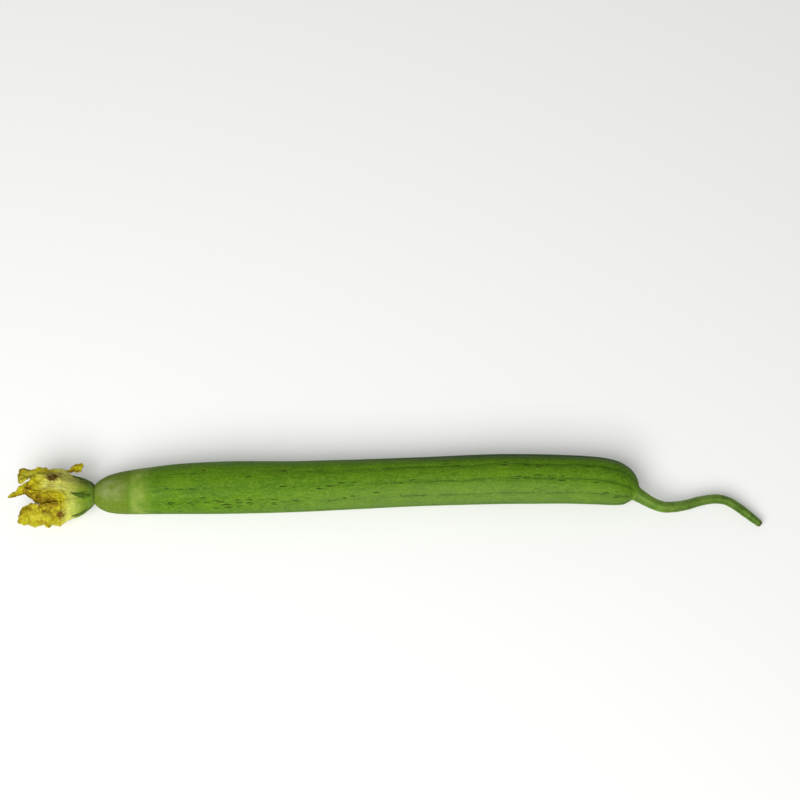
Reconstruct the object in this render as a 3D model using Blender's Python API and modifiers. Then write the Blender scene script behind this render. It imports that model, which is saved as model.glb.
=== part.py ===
"""A luffa gourd as picked, lying on its side: the fruit with its stalk at one end and the
wilted flower still on the other. +X runs towards the stalk, +Z is up, and the origin is on
the surface it lies on, under the middle of its box. Everything below is in millimetres and
angles in degrees; MM turns them into Blender's metres."""

import math

import bmesh
import bpy
from mathutils import Matrix, Vector, noise

MM = 0.001
MERGE = 0.0001 * MM

# A gap that touching pieces keep between them.
GAP = 0.3

# Where the fruit's neck is: the end of the fruit that the flower stands on. Distances along
# X and Y below are measured from it.
NECK = Vector((-203.3, -3.0, 0.0))

# The fruit is a loft of rings from its neck to the stalk's root. Each station is the ring's
# centre along X and Y, how far its underside stands above the surface, its radius, and how
# far it is turned from facing +X. PRESS is how far the resting stretch is pressed flat.
PRESS = 0.7
FRUIT_STATIONS = (
    (0.0, 0.0, 9.6, 7.4, 0.0),
    (2.0, 0.0, 7.7, 9.2, 0.0),
    (4.6, 0.1, 6.0, 10.9, 0.0),
    (9.4, 0.4, 3.9, 13.0, 0.0),
    (18.1, 1.1, 2.2, 14.75, 0.0),
    (35.1, 2.5, 0.8, 16.1, 0.0),
    (60.1, 4.1, -PRESS, 17.6, 0.0),
    (92.1, 4.8, -PRESS, 18.3, 0.0),
    (141.6, 5.8, -PRESS, 17.8, 0.0),
    (226.1, 9.5, -PRESS, 17.1, 0.0),
    (282.1, 11.3, -PRESS, 17.55, 0.0),
    (324.1, 11.3, -PRESS, 17.1, 0.0),
    (349.6, 10.4, -PRESS, 16.7, -1.0),
    (362.6, 8.8, 0.0, 15.6, -6.0),
    (370.5, 6.9, 1.0, 13.1, -11.0),
    (374.2, 5.4, 3.6, 10.1, -16.0),
    (376.2, 3.5, 6.9, 7.2, -22.0),
    (376.9, 1.7, 9.1, 5.5, -28.0),
    (378.2, 0.4, 10.0, 4.8, -33.0),
)
FRUIT_RINGS = 44
ROUND_END_CROWDING = 0.65

# Shallow ribs run the length of the fruit between RIBS fine grooves. The first groove is
# FIRST_GROOVE round from the top towards -Y. They deepen from the flower's end, where they
# have GROOVE_SHALLOW of their depth, to the stalk's.
RIBS = 10
FIRST_GROOVE = 17.0
SIDES_PER_RIB = 4
GROOVE_DEPTH = 0.6
GROOVE_SHALLOW = 0.35
GROOVE_START, GROOVE_FULL = 50.0, 330.0
GROOVE_SHARPNESS = 0.8

# The stalk's centre line and radius, from the fruit to its cut tip.
STALK_STATIONS = (
    (378.53, 0.18, 14.8, 4.8),
    (383.1, -2.75, 14.75, 4.25),
    (387.6, -5.1, 13.9, 3.95),
    (394.6, -7.4, 12.4, 3.85),
    (401.6, -7.5, 11.5, 3.75),
    (411.6, -5.7, 10.3, 3.5),
    (422.6, -2.3, 9.3, 3.35),
    (433.1, -0.6, 8.4, 3.2),
    (441.6, -1.8, 7.4, 3.1),
    (451.6, -7.9, 6.0, 3.0),
    (464.9, -18.2, 3.9, 2.9),
)
STALK_POINTS = 30

# The flower's own frame: a runs from the neck away from the fruit, rho is the distance from
# its axis, and a turn of 0 is straight up, growing towards -Y. The axis bows towards -Y.
FLOWER_NECK = NECK + Vector((0.0, 0.0, 17.0))
FLOWER_BOW = 2.2
FLOWER_BOW_FULL = 14.0

# The cone on which the petals stand, as (a, rho).
PETAL_CONE = ((0.0, 4.6), (2.0, 6.5), (4.0, 8.4), (8.0, 11.0), (12.0, 12.8), (16.0, 14.0))

# The calyx is a cup outside that cone, with a slender sepal between each two petals. The
# sepals flare away from the cone and lean round it towards the top of the flower.
CALYX_CLEAR = 1.55
CALYX_WALL = 0.8
CALYX_FLOOR = GAP + CALYX_WALL / 2
CALYX_FLOOR_RADIUS = 6.6
CALYX_FLOOR_SHARE = 0.2
SEPALS = 5
FIRST_SEPAL = 24.0
SEPAL_SINUS = 4.2
SEPAL_TIP = 15.5
SEPAL_FLARE = 0.08
SEPAL_LEAN = 14.0
SEPAL_SPAN = 0.45
CALYX_ROWS = 9
SEPAL_STEPS = 8

# The solid base of the petals ends at BASE_END, and the stigma stands on it: its style
# reaches STIGMA_AT, where its lobes sit LOBE_OUT from the axis.
BASE_END = 9.0
BASE_SIDES = 20
STYLE_RADIUS = 2.0
STYLE_SIDES = 12
STIGMA_AT = 17.0
LOBE_OUT = 2.2
LOBE_RADIUS = 2.8
STIGMA_LOBES = 3

# Every petal's thickness, the stretch of the axis over which it leaves the cone, its grid,
# and how far round, in radians, it may be bowed to each side.
PETAL_WALL = 0.8
PETAL_HUGS = (12.0, 24.0)
PETAL_ROWS, PETAL_COLUMNS = 16, 14
MOST_ARC = 2.2

# Each petal tucks one margin this far under its neighbour's where they hug the cone.
PETAL_TUCK = 0.9

# How a petal's tip is torn, its margins are waved and its blade is crumpled, as a depth in
# millimetres or a share of its width and then the scale of the noise. Its folds are this
# much shallower along its middle and slant this much. Below NARROW, a petal's half width
# is too small for it to crumple fully.
TEAR, TEAR_ROUND, TEAR_SCALE = 5.0, 2.5, 2.3
WAVE, WAVE_SCALE = 0.3, 4.0
CRUMPLE, CRUMPLE_SCALES = 2.4, (5.2, 3.1)
FOLD_CALM, FOLD_SLANT = 0.65, 0.35
NARROW = 8.0

# Nothing of the flower's middle surfaces hangs lower than this.
FLOOR_CLEAR = 0.7
FLOOR_EASE = 0.8


class Petal:
    """One wilted petal: a strip along a line of stations, from the cone to its torn tip.

    A station is how far along the axis it is, its distance from the axis, its turn, the
    petal's half width there, and its roll, which is 0 where the petal faces outwards and 90
    where it stands on edge. bend is the radius that it is bowed to across; folds and depth
    are the waves across it; curl lifts its two margins; ragged is how torn its tip is. It
    hugs the cone up to hugs[0] along the axis and follows its own stations from hugs[1]."""

    def __init__(self, name, stations, hugs, bend, folds, depth, curl, ragged, seed):
        self.name = name
        self.stations = stations
        self.hugs = hugs
        self.bend = bend
        self.folds = folds
        self.depth = depth
        self.curl = curl
        self.ragged = ragged
        self.seed = seed
        self.steps = steps_of(stations, (0, 1))


def smooth(low, high, value):
    """0 below low, 1 above high, and an S-curve between."""
    share = min(1.0, max(0.0, (value - low) / (high - low)))
    return share * share * (3 - 2 * share)


def spline(stations, steps, at):
    """The smooth curve through stations, whose parameter steps[i] belongs to stations[i]."""
    last = len(stations) - 1
    i = max(k for k in range(last) if steps[k] <= at or k == 0)
    width = steps[i + 1] - steps[i]
    share = (at - steps[i]) / width
    values = []
    for column in range(len(stations[0])):

        def slope(k):
            before, after = max(k - 1, 0), min(k + 1, last)
            rise = stations[after][column] - stations[before][column]
            return rise / (steps[after] - steps[before])

        start, end = stations[i][column], stations[i + 1][column]
        values.append(
            (2 * share**3 - 3 * share**2 + 1) * start
            + (share**3 - 2 * share**2 + share) * width * slope(i)
            + (3 * share**2 - 2 * share**3) * end
            + (share**3 - share**2) * width * slope(i + 1)
        )
    return values


def steps_of(stations, columns):
    """How far along its own line each station is, measured over those columns."""
    steps = [0.0]
    for a, b in zip(stations, stations[1:]):
        steps.append(steps[-1] + math.dist([a[c] for c in columns], [b[c] for c in columns]))
    return steps


# The five petals stand between the sepals. The sixth strip is a scrap torn from the top
# one, which curls back towards the fruit.
PETALS = (
    Petal(
        "front",
        (
            (1.5, 5.5, -12, 3.0, 0),
            (9.0, 11.5, -12, 8.5, 0),
            (22.0, 18.0, -10, 13.0, 0),
            (33.0, 19.0, -6, 13.0, 0),
            (41.0, 17.5, -3, 10.0, 0),
            (48.0, 14.5, -1, 6.0, 0),
            (54.5, 12.5, 4, 3.2, 0),
            (59.8, 10.5, 18, 1.4, 0),
        ),
        hugs=PETAL_HUGS,
        bend=15.0,
        folds=2.2,
        depth=1.3,
        curl=(1.0, 1.5),
        ragged=0.0,
        seed=3.1,
    ),
    Petal(
        "lower",
        (
            (1.5, 5.5, 60, 3.0, 0),
            (9.0, 11.5, 60, 8.5, 0),
            (22.0, 18.0, 68, 13.0, 0),
            (36.0, 20.0, 75, 16.0, 0),
            (45.0, 19.5, 78, 13.5, 0),
            (50.0, 18.8, 74, 8.5, 0),
        ),
        hugs=PETAL_HUGS,
        bend=17.0,
        folds=2.6,
        depth=1.6,
        curl=(1.0, -1.0),
        ragged=0.7,
        seed=7.7,
    ),
    Petal(
        "under",
        (
            (1.5, 5.5, 132, 3.0, 0),
            (9.0, 11.5, 132, 8.5, 0),
            (22.0, 15.0, 142, 12.0, 0),
            (36.0, 15.0, 150, 13.0, 0),
            (47.0, 13.5, 152, 8.0, 0),
        ),
        hugs=PETAL_HUGS,
        bend=18.0,
        folds=1.8,
        depth=0.8,
        curl=(0.0, 1.0),
        ragged=1.0,
        seed=12.4,
    ),
    Petal(
        "back",
        (
            (1.5, 5.5, 204, 3.0, 0),
            (9.0, 11.5, 204, 8.5, 0),
            (22.0, 14.0, 212, 12.0, 0),
            (36.0, 13.5, 220, 11.0, 0),
            (49.0, 10.0, 222, 6.0, 0),
        ),
        hugs=PETAL_HUGS,
        bend=14.0,
        folds=1.8,
        depth=1.0,
        curl=(1.0, 1.0),
        ragged=1.0,
        seed=18.9,
    ),
    Petal(
        "top",
        (
            (1.5, 5.5, 276, 3.0, 0),
            (9.0, 11.5, 276, 8.5, 0),
            (22.0, 17.0, 286, 12.0, 0),
            (36.0, 19.0, 297, 12.5, 0),
            (46.0, 19.3, 305, 9.5, 0),
            (54.0, 19.0, 309, 7.5, 0),
        ),
        hugs=PETAL_HUGS,
        bend=12.0,
        folds=2.3,
        depth=1.2,
        curl=(-1.0, 1.0),
        ragged=1.0,
        seed=23.6,
    ),
    Petal(
        "scrap",
        (
            (24.0, 16.5, 290, 3.0, 20),
            (20.0, 18.6, 289, 2.6, 50),
            (16.0, 20.6, 288, 2.8, 75),
            (12.5, 21.4, 287, 3.4, 85),
            (9.5, 21.0, 286, 3.0, 85),
        ),
        hugs=(0.0, 1.0),
        bend=6.0,
        folds=1.0,
        depth=0.8,
        curl=(0.5, 0.5),
        ragged=0.35,
        seed=29.3,
    ),
)

FRUIT_RADIUS = max(radius for _, _, _, radius, _ in FRUIT_STATIONS)
FRUIT_STEPS = steps_of(FRUIT_STATIONS, (0, 1, 3))
STALK_STEPS = steps_of(STALK_STATIONS, (0, 1, 2))
CONE_STEPS = [a for a, rho in PETAL_CONE]


def rib_relief(along, turn):
    """How far the skin stands in from the fruit's round, at a place along it and a turn."""
    grown = smooth(GROOVE_START, GROOVE_FULL, along)
    depth = GROOVE_DEPTH * (GROOVE_SHALLOW + (1 - GROOVE_SHALLOW) * grown)
    depth *= smooth(0, GROOVE_START, along)
    across = abs(math.sin(math.radians(turn - FIRST_GROOVE) * RIBS / 2))
    return -depth * (1 - across**GROOVE_SHARPNESS)


def fruit_point(along, turn):
    """A point of the skin: along is in millimetres from the neck, turn from the top to -Y."""
    x, y, rise, radius, yaw = spline(FRUIT_STATIONS, FRUIT_STEPS, along)
    ribbed = radius + rib_relief(along, turn) * radius / FRUIT_RADIUS
    side = -ribbed * math.sin(math.radians(turn))
    up = ribbed * math.cos(math.radians(turn))
    lean = math.radians(yaw)
    across = Vector((-math.sin(lean), math.cos(lean), 0.0))
    point = NECK + Vector((x, y, rise + radius + up)) + across * side
    point.z = max(point.z, 0.0)
    return point


def cone_rho(a):
    return spline([(rho,) for _, rho in PETAL_CONE], CONE_STEPS, min(a, CONE_STEPS[-1]))[0]


def flower_point(a, rho, turn):
    """A point of the flower's own frame, in the model's."""
    angle = math.radians(turn)
    bow = FLOWER_BOW * smooth(0, FLOWER_BOW_FULL, a)
    return FLOWER_NECK + Vector((-a, -rho * math.sin(angle) - bow, rho * math.cos(angle)))


def above_floor(point):
    """The point eased up, so that what would hang lower lies along the surface instead."""
    spare = (point.z - FLOOR_CLEAR) / FLOOR_EASE
    eased = max(spare, 0.0) + math.log1p(math.exp(-abs(spare)))
    point.z = FLOOR_CLEAR + FLOOR_EASE * eased
    return point


def petal_station(petal, u, v):
    """The petal's station at u, with the waves of its margins and the tear of its tip."""
    at = petal.steps[-1] * u
    a, rho, turn, half, roll = spline(petal.stations, petal.steps, at)
    side = math.copysign(1, v)
    wave = noise.noise(Vector((u * WAVE_SCALE, petal.seed, 5.5 + side)))
    tear = noise.noise(Vector((v * TEAR_SCALE, petal.seed, 0.5)))
    torn = petal.ragged * u * u * (TEAR * tear - TEAR_ROUND * abs(v) ** 3)
    outward = math.copysign(1, petal.stations[-1][0] - petal.stations[0][0])
    return a + outward * torn, rho, turn, half * (1 + WAVE * wave * u), roll


def petal_lift(petal, u, v, half, free):
    """How far folds, crumples and curled margins raise the blade, once it is free."""
    fold = math.sin(math.pi * petal.folds * (v + FOLD_SLANT * u) + petal.seed)
    along, across = CRUMPLE_SCALES
    crumple = noise.noise(Vector((u * along, v * across, petal.seed)))
    waves = petal.depth * fold * (1 - FOLD_CALM * (1 - abs(v))) + CRUMPLE * crumple * u
    curl = petal.curl[0 if v < 0 else 1] * abs(v) ** 3 * u
    tuck = PETAL_TUCK * (1 + v) / 2
    return free * (waves * min(1.0, half / NARROW) ** 2 + curl) - (1 - free) * tuck


def petal_point(petal, u, v):
    """The petal's middle surface: u is 0 at the root and 1 at the tip, v is -1 to 1."""
    a, rho, turn, half, roll = petal_station(petal, u, v)
    free = smooth(petal.hugs[0], petal.hugs[1], a)
    rho = cone_rho(a) * (1 - free) + rho * free
    bend = cone_rho(a) * (1 - free) + petal.bend * free
    arc = v * min(half / bend, MOST_ARC)
    middle = flower_point(a, rho, turn)
    facing = (middle - flower_point(a, 0, turn)).normalized()
    sideways = Vector((1, 0, 0)).cross(facing)
    tip_over = math.radians(roll)
    normal = facing * math.cos(tip_over) + sideways * math.sin(tip_over)
    across = sideways * math.cos(tip_over) - facing * math.sin(tip_over)
    point = middle + across * bend * math.sin(arc) - normal * bend * (1 - math.cos(arc))
    raised = normal * math.cos(arc) + across * math.sin(arc)
    return above_floor(point + raised * petal_lift(petal, u, v, half, free))


def material(name, colour, roughness):
    made = bpy.data.materials.new(name)
    made.use_nodes = True
    shader = made.node_tree.nodes["Principled BSDF"]
    shader.inputs["Base Color"].default_value = (*colour, 1.0)
    shader.inputs["Roughness"].default_value = roughness
    shader.inputs["Metallic"].default_value = 0.0
    return made


def linked(name, mesh, collection):
    made = bpy.data.objects.new(name, mesh)
    collection.objects.link(made)
    return made


def mapped_grid(name, columns, rows, place, triangles=False):
    """A flat grid laid into space by place(u, v), its seam and poles closed."""
    grid = bmesh.new()
    bmesh.ops.create_grid(grid, x_segments=columns, y_segments=rows, size=0.5)
    for vertex in grid.verts:
        vertex.co = place(vertex.co.y + 0.5, vertex.co.x + 0.5) * MM
    bmesh.ops.remove_doubles(grid, verts=grid.verts, dist=MERGE)
    bmesh.ops.dissolve_degenerate(grid, edges=grid.edges, dist=MERGE)
    if triangles:
        bmesh.ops.triangulate(grid, faces=grid.faces)
    bmesh.ops.recalc_face_normals(grid, faces=grid.faces)
    mesh = bpy.data.meshes.new(name)
    grid.to_mesh(mesh)
    grid.free()
    return mesh


def cap_ends(mesh):
    """Closes the open ends of a tube and turns its faces outwards."""
    tube = bmesh.new()
    tube.from_mesh(mesh)
    bmesh.ops.holes_fill(tube, edges=[e for e in tube.edges if e.is_boundary], sides=0)
    bmesh.ops.recalc_face_normals(tube, faces=tube.faces)
    tube.to_mesh(mesh)
    tube.free()


def smooth_shaded(made, sharp=40.0):
    made.data.shade_smooth()
    made.data.set_sharp_from_angle(angle=math.radians(sharp))


def solidified(made, wall):
    """Gives an open sheet its thickness, half to each side."""
    thick = made.modifiers.new("Wall", "SOLIDIFY")
    thick.thickness = wall * MM
    thick.offset = 0.0


def build_fruit(parts):
    """The fruit: its rings stand closer together where the two ends round over."""
    length = FRUIT_STEPS[-1]

    def place(u, v):
        eased = (1 - math.cos(math.pi * u)) / 2
        share = u + ROUND_END_CROWDING * (eased - u)
        return fruit_point(share * length, FIRST_GROOVE + 360 * v)

    mesh = mapped_grid("fruit", RIBS * SIDES_PER_RIB, FRUIT_RINGS, place)
    cap_ends(mesh)
    fruit = linked("fruit", mesh, parts)
    fruit.data.materials.append(material("Luffa skin", (0.15, 0.29, 0.04), 0.5))
    smooth_shaded(fruit)


def build_stalk(parts):
    """The stalk: one tapered tube whose two flat ends are the root and the cut."""
    route = bpy.data.curves.new("stalk", "CURVE")
    route.dimensions = "3D"
    route.bevel_depth = MM
    route.bevel_resolution = 3
    route.use_fill_caps = True
    line = route.splines.new("POLY")
    line.points.add(STALK_POINTS - 1)
    for i, point in enumerate(line.points):
        at = STALK_STEPS[-1] * i / (STALK_POINTS - 1)
        x, y, z, radius = spline(STALK_STATIONS, STALK_STEPS, at)
        place = (NECK + Vector((x, y, z))) * MM
        point.co = (*place, 1.0)
        point.radius = radius
    stalk = linked("stalk", route, parts)
    stalk.data.materials.append(material("Luffa stalk", (0.13, 0.26, 0.04), 0.55))


def build_calyx(parts):
    """The calyx: a floor against the fruit's neck, a cup, and five pointed lobes."""

    def place(u, v):
        turn = FIRST_SEPAL + 360 * v
        if u < CALYX_FLOOR_SHARE:
            reach = CALYX_FLOOR_RADIUS * u / CALYX_FLOOR_SHARE
            return flower_point(CALYX_FLOOR, reach, turn)
        across = abs((v * SEPALS + 0.5) % 1 - 0.5) * 2
        rim = SEPAL_SINUS + (SEPAL_TIP - SEPAL_SINUS) * max(0.0, 1 - across / SEPAL_SPAN)
        climb = (u - CALYX_FLOOR_SHARE) / (1 - CALYX_FLOOR_SHARE)
        a = CALYX_FLOOR + (rim - CALYX_FLOOR) * climb
        beyond = max(0.0, a - SEPAL_SINUS)
        turn -= SEPAL_LEAN * beyond / (SEPAL_TIP - SEPAL_SINUS)
        rho = cone_rho(a) + CALYX_CLEAR + SEPAL_FLARE * beyond
        return above_floor(flower_point(a, rho, turn))

    mesh = mapped_grid("calyx", SEPALS * SEPAL_STEPS, CALYX_ROWS, place, triangles=True)
    calyx = linked("calyx", mesh, parts)
    solidified(calyx, CALYX_WALL)
    calyx.data.materials.append(material("Luffa calyx", (0.12, 0.2, 0.03), 0.65))
    smooth_shaded(calyx)


def keep_largest_body(mesh):
    """Drops all but the largest body: a scrap comes off, and a sealed hollow is filled."""
    joined = bmesh.new()
    joined.from_mesh(mesh)
    bodies = []
    left = set(joined.verts)
    while left:
        body = {left.pop()}
        front = list(body)
        while front:
            vertex = front.pop()
            found = {edge.other_vert(vertex) for edge in vertex.link_edges} - body
            body |= found
            front.extend(found)
        left -= body
        bodies.append(body)
    bodies.sort(key=len)
    for body in bodies[:-1]:
        bmesh.ops.delete(joined, geom=list(body), context="VERTS")
    joined.to_mesh(mesh)
    joined.free()


def solid_of(name, shape, collection):
    mesh = bpy.data.meshes.new(name)
    shape.to_mesh(mesh)
    shape.free()
    return linked(name, mesh, collection)


def frustum(name, start, end, radii, sides, collection):
    """A solid cone along the flower's axis from start to end, with a radius at each."""
    cone = bmesh.new()
    bmesh.ops.create_cone(
        cone,
        cap_ends=True,
        segments=sides,
        radius1=radii[0] * MM,
        radius2=radii[1] * MM,
        depth=(end - start) * MM,
    )
    turned = Matrix.Rotation(math.radians(-90), 4, "Y")
    middle = Matrix.Translation(flower_point((start + end) / 2, 0, 0) * MM)
    bmesh.ops.transform(cone, matrix=middle @ turned, verts=cone.verts)
    return solid_of(name, cone, collection)


def build_base(collection):
    """The petals' joined base, a plug that fills the cup."""
    start = CALYX_FLOOR + CALYX_WALL / 2 + GAP
    radii = (cone_rho(start), cone_rho(BASE_END) - PETAL_WALL)
    return frustum("corolla", start, BASE_END, radii, BASE_SIDES, collection)


def as_mesh(made, collection):
    """A plain mesh copy of an object as its modifiers leave it; the object is removed."""
    graph = bpy.context.evaluated_depsgraph_get()
    mesh = bpy.data.meshes.new_from_object(made.evaluated_get(graph))
    name = made.name
    bpy.data.objects.remove(made)
    return linked(name, mesh, collection)


def build_stigma(collection):
    """The withered stigma deep in the flower: three lobes round the top of a short style."""
    radii = (STYLE_RADIUS, STYLE_RADIUS)
    frustum("style", BASE_END - GAP, STIGMA_AT, radii, STYLE_SIDES, collection)
    for number in range(STIGMA_LOBES):
        turn = 360 * number / STIGMA_LOBES
        middle = flower_point(STIGMA_AT, LOBE_OUT, turn)
        lobe = bmesh.new()
        bmesh.ops.create_icosphere(lobe, subdivisions=2, radius=LOBE_RADIUS * MM)
        bmesh.ops.translate(lobe, vec=middle * MM, verts=lobe.verts)
        solid_of("stigma lobe", lobe, collection)


def build_corolla(parts, pieces):
    """The wilted corolla: five petals fused with the plug that they grow from."""
    for petal in PETALS:

        def place(u, v, petal=petal):
            return petal_point(petal, u, 2 * v - 1)

        name = "petal " + petal.name
        mesh = mapped_grid(name, PETAL_COLUMNS, PETAL_ROWS, place, triangles=True)
        blade = linked(name, mesh, pieces)
        solidified(blade, PETAL_WALL)
        as_mesh(blade, pieces)
    build_stigma(pieces)
    corolla = build_base(parts)
    union = corolla.modifiers.new("Petals", "BOOLEAN")
    union.operation = "UNION"
    union.operand_type = "COLLECTION"
    union.collection = pieces
    union.solver = "MANIFOLD"
    corolla = as_mesh(corolla, parts)
    for blade in list(pieces.objects):
        bpy.data.objects.remove(blade)
    keep_largest_body(corolla.data)
    corolla.data.materials.clear()
    corolla.data.materials.append(material("Luffa petal", (0.62, 0.5, 0.08), 0.7))
    smooth_shaded(corolla)


def main():
    for old in list(bpy.data.objects):
        bpy.data.objects.remove(old)
    parts = bpy.data.collections.new("Luffa gourd")
    pieces = bpy.data.collections.new("Petal blades")
    for collection in (parts, pieces):
        bpy.context.scene.collection.children.link(collection)
    build_fruit(parts)
    build_stalk(parts)
    build_calyx(parts)
    build_corolla(parts, pieces)


main()
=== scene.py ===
"""Dresses the packed luffa gourd for its render: the ribbed, marked skin of the fruit, its
stalk, the calyx and the wilted flower, on a plain pale floor. It is laid out as a Blender
add-on and run as a script. Forms are worked out in millimetres and degrees, in the frame of
the packed model, and turned into metres where a mesh is made."""

import math
from dataclasses import dataclass

import bmesh
import bpy
import numpy as np
from mathutils import Matrix, Vector, noise


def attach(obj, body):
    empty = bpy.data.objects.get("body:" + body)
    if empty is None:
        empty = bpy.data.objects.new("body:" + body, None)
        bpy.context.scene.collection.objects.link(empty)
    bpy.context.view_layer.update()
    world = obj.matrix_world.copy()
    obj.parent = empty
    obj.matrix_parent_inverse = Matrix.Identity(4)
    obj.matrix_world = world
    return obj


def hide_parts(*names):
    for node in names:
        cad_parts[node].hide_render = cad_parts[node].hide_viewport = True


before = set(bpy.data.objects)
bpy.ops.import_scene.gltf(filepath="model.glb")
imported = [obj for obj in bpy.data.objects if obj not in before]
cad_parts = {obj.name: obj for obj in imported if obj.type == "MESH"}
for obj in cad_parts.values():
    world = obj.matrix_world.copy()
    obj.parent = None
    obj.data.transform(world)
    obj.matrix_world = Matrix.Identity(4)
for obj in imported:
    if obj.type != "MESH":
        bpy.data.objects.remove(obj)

bl_info = {
    "name": "Luffa gourd",
    "version": (1, 0, 0),
    "blender": (4, 5, 0),
    "location": "3D View > Sidebar > Luffa",
    "description": "Builds the skin, stalk, calyx and wilted flower of a luffa gourd",
    "category": "Add Mesh",
}

MM = 0.001
MERGE = 0.0001 * MM

# The fruit's rings, the stalk's line and the flower's frame are the packed model's, measured
# from the neck between the fruit and the flower. Only the flower's cone is up to 1 mm fuller
# here, and its sepals are turned by 6 degrees. The belly is pressed flat by PRESS.
NECK = Vector((-203.3, -3, 0))
PRESS = 0.7
# Each ring's place along X and Y, the height of its lowest point, its radius and its lean.
FRUIT_STATIONS = (
    (0, 0, 9.6, 7.4, 0), (2, 0, 7.7, 9.2, 0), (4.6, 0.1, 6, 10.9, 0),
    (9.4, 0.4, 3.9, 13, 0), (18.1, 1.1, 2.2, 14.75, 0), (35.1, 2.5, 0.8, 16.1, 0),
    (60.1, 4.1, -PRESS, 17.6, 0), (92.1, 4.8, -PRESS, 18.3, 0),
    (141.6, 5.8, -PRESS, 17.8, 0), (226.1, 9.5, -PRESS, 17.1, 0),
    (282.1, 11.3, -PRESS, 17.55, 0), (324.1, 11.3, -PRESS, 17.1, 0),
    (349.6, 10.4, -PRESS, 16.7, -1), (362.6, 8.8, 0, 15.6, -6),
    (370.5, 6.9, 1, 13.1, -11), (374.2, 5.4, 3.6, 10.1, -16),
    (376.2, 3.5, 6.9, 7.2, -22), (376.9, 1.7, 9.1, 5.5, -28),
    (378.2, 0.4, 10, 4.8, -33),
)
RIBS = 10
# In degrees, and a float because its socket takes one.
FIRST_GROOVE = 17.0
# Grooves fade in up to their start, where they have the shallow share of their depth, and have
# all of it at the second distance. A lower sharpness makes them narrower.
GROOVE_START, GROOVE_FULL = 50, 330
GROOVE_SHALLOW, GROOVE_SHARPNESS = 0.35, 0.8
# The middle of the stalk at each station, and its radius.
STALK_STATIONS = (
    (378.53, 0.18, 14.8, 4.8), (383.1, -2.75, 14.75, 4.25), (387.6, -5.1, 13.9, 3.95),
    (394.6, -7.4, 12.4, 3.85), (401.6, -7.5, 11.5, 3.75), (411.6, -5.7, 10.3, 3.5),
    (422.6, -2.3, 9.3, 3.35), (433.1, -0.6, 8.4, 3.2), (441.6, -1.8, 7.4, 3.1),
    (451.6, -7.9, 6, 3), (464.9, -18.2, 3.9, 2.9),
)
# The flower's axis runs from its neck, away from the fruit, and bows to the near side.
FLOWER_NECK = NECK + Vector((0, 0, 17))
FLOWER_BOW, FLOWER_BOW_FULL = 2.2, 14
# How far along the axis, and how far from it, the cone of joined petals is.
PETAL_CONE = ((0, 4.6), (2, 7), (4, 9.3), (8, 12), (12, 13.7), (16, 14.8))
# What breaks up every petal: how far one margin tucks under the next petal, the most that a
# petal wraps round its bend in radians, the tears of its tip, the waves of its margins, its
# crumples, and how calm and how slanted its folds are. Below NARROW they fade with its width.
PETAL_TUCK, MOST_ARC = 0.5, 2.2
TEAR, TEAR_ROUND, TEAR_SCALE = 5, 2.5, 2.3
WAVE, WAVE_SCALE = 0.3, 4
CRUMPLE, CRUMPLE_SCALES = 2.4, (5.2, 3.1)
FOLD_CALM, FOLD_SLANT = 0.65, 0.35
NARROW = 8
# A wall's clear height above the surface, and how softly what hangs lower is eased up to it.
FLOOR_CLEAR, FLOOR_EASE = 0.1, 0.8
# The calyx: its floor, its sepals, and how far it stands off the cone at its foot, at its rim
# and at the sepals' tips. A stripe of each sepal's green runs down the cup.
CALYX_FLOOR, CALYX_FLOOR_RADIUS, CALYX_FLOOR_SHARE = 0.7, 6.6, 0.2
SEPALS, FIRST_SEPAL, SEPAL_LEAN = 5, 18, 14
SEPAL_SINUS, SEPAL_TIP = 4.2, 15.5
SEPAL_SPAN, SEPAL_TAPER = 0.42, 1.25
CALYX_CLEAR, RIM_CLEAR, SEPAL_CLEAR = 0.8, 0.3, 0.3
MIDRIB, MIDRIB_WIDTH, MIDRIB_FULL = 0.3, 0.07, 3
CALYX_UNEVEN, CALYX_UNEVEN_SCALES = 0.25, (1 / 3, 30)
STRIPE = 0.3
# The stigma's lobes, how round and how dented they are, and the flower's foot and style, each
# as a start, an end and a radius at each.
STIGMA_AT, STIGMA_OUT, STIGMA_RADIUS, STIGMA_LOBES = 17, 2.2, 2.8, 3
STIGMA_ROUND, STIGMA_DENT, DENT_SCALE = 0.85, 0.35, 0.9
STYLE_STRETCHES = ((1.3, 9, 4.4, 8.2), (9, 17, 2, 2))

# How finely the pieces are divided, and how far the fruit's rows crowd towards its round ends.
# The petals' grain is in millimetres.
ROUND_END_CROWDING = 0.65
FRUIT_ROWS, FRUIT_SIDES = 480, 160
STALK_ROWS, STALK_SIDES = 220, 48
CALYX_ROWS, CALYX_COLUMNS = 60, 400
PETAL_GRAIN = 0.32

# Marks on the skin, in millimetres: how wide its lines are and the share of that which is full
# dark, the length and spacing of its dashes, how much of a cell each fills, its soft edge, how
# near a groove they crowd, their share there and that of stray ones, and how wide the painted
# shade beside a groove is. A line wanders by a share of a rib, and SHIVER roughens the dashes, in
# units of 100 mm and in turns.
LINE_WANDER = 0.35
LINE_WIDTH, LINE_CORE = 0.5, 0.3
DASH_LENGTH, DASH_SPACING = 8, 1.2
DASH_FILLS, DASH_EDGE, DASH_NEAR = (0.12, 0.42), 0.08, (3.6, 0.6)
DASH_SHARE, DASH_STRAY = 0.4, 0.011
SHIVER = (0.05, 0.016, 0)
GROOVE_SHADE_WIDTH = 3.2
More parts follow.
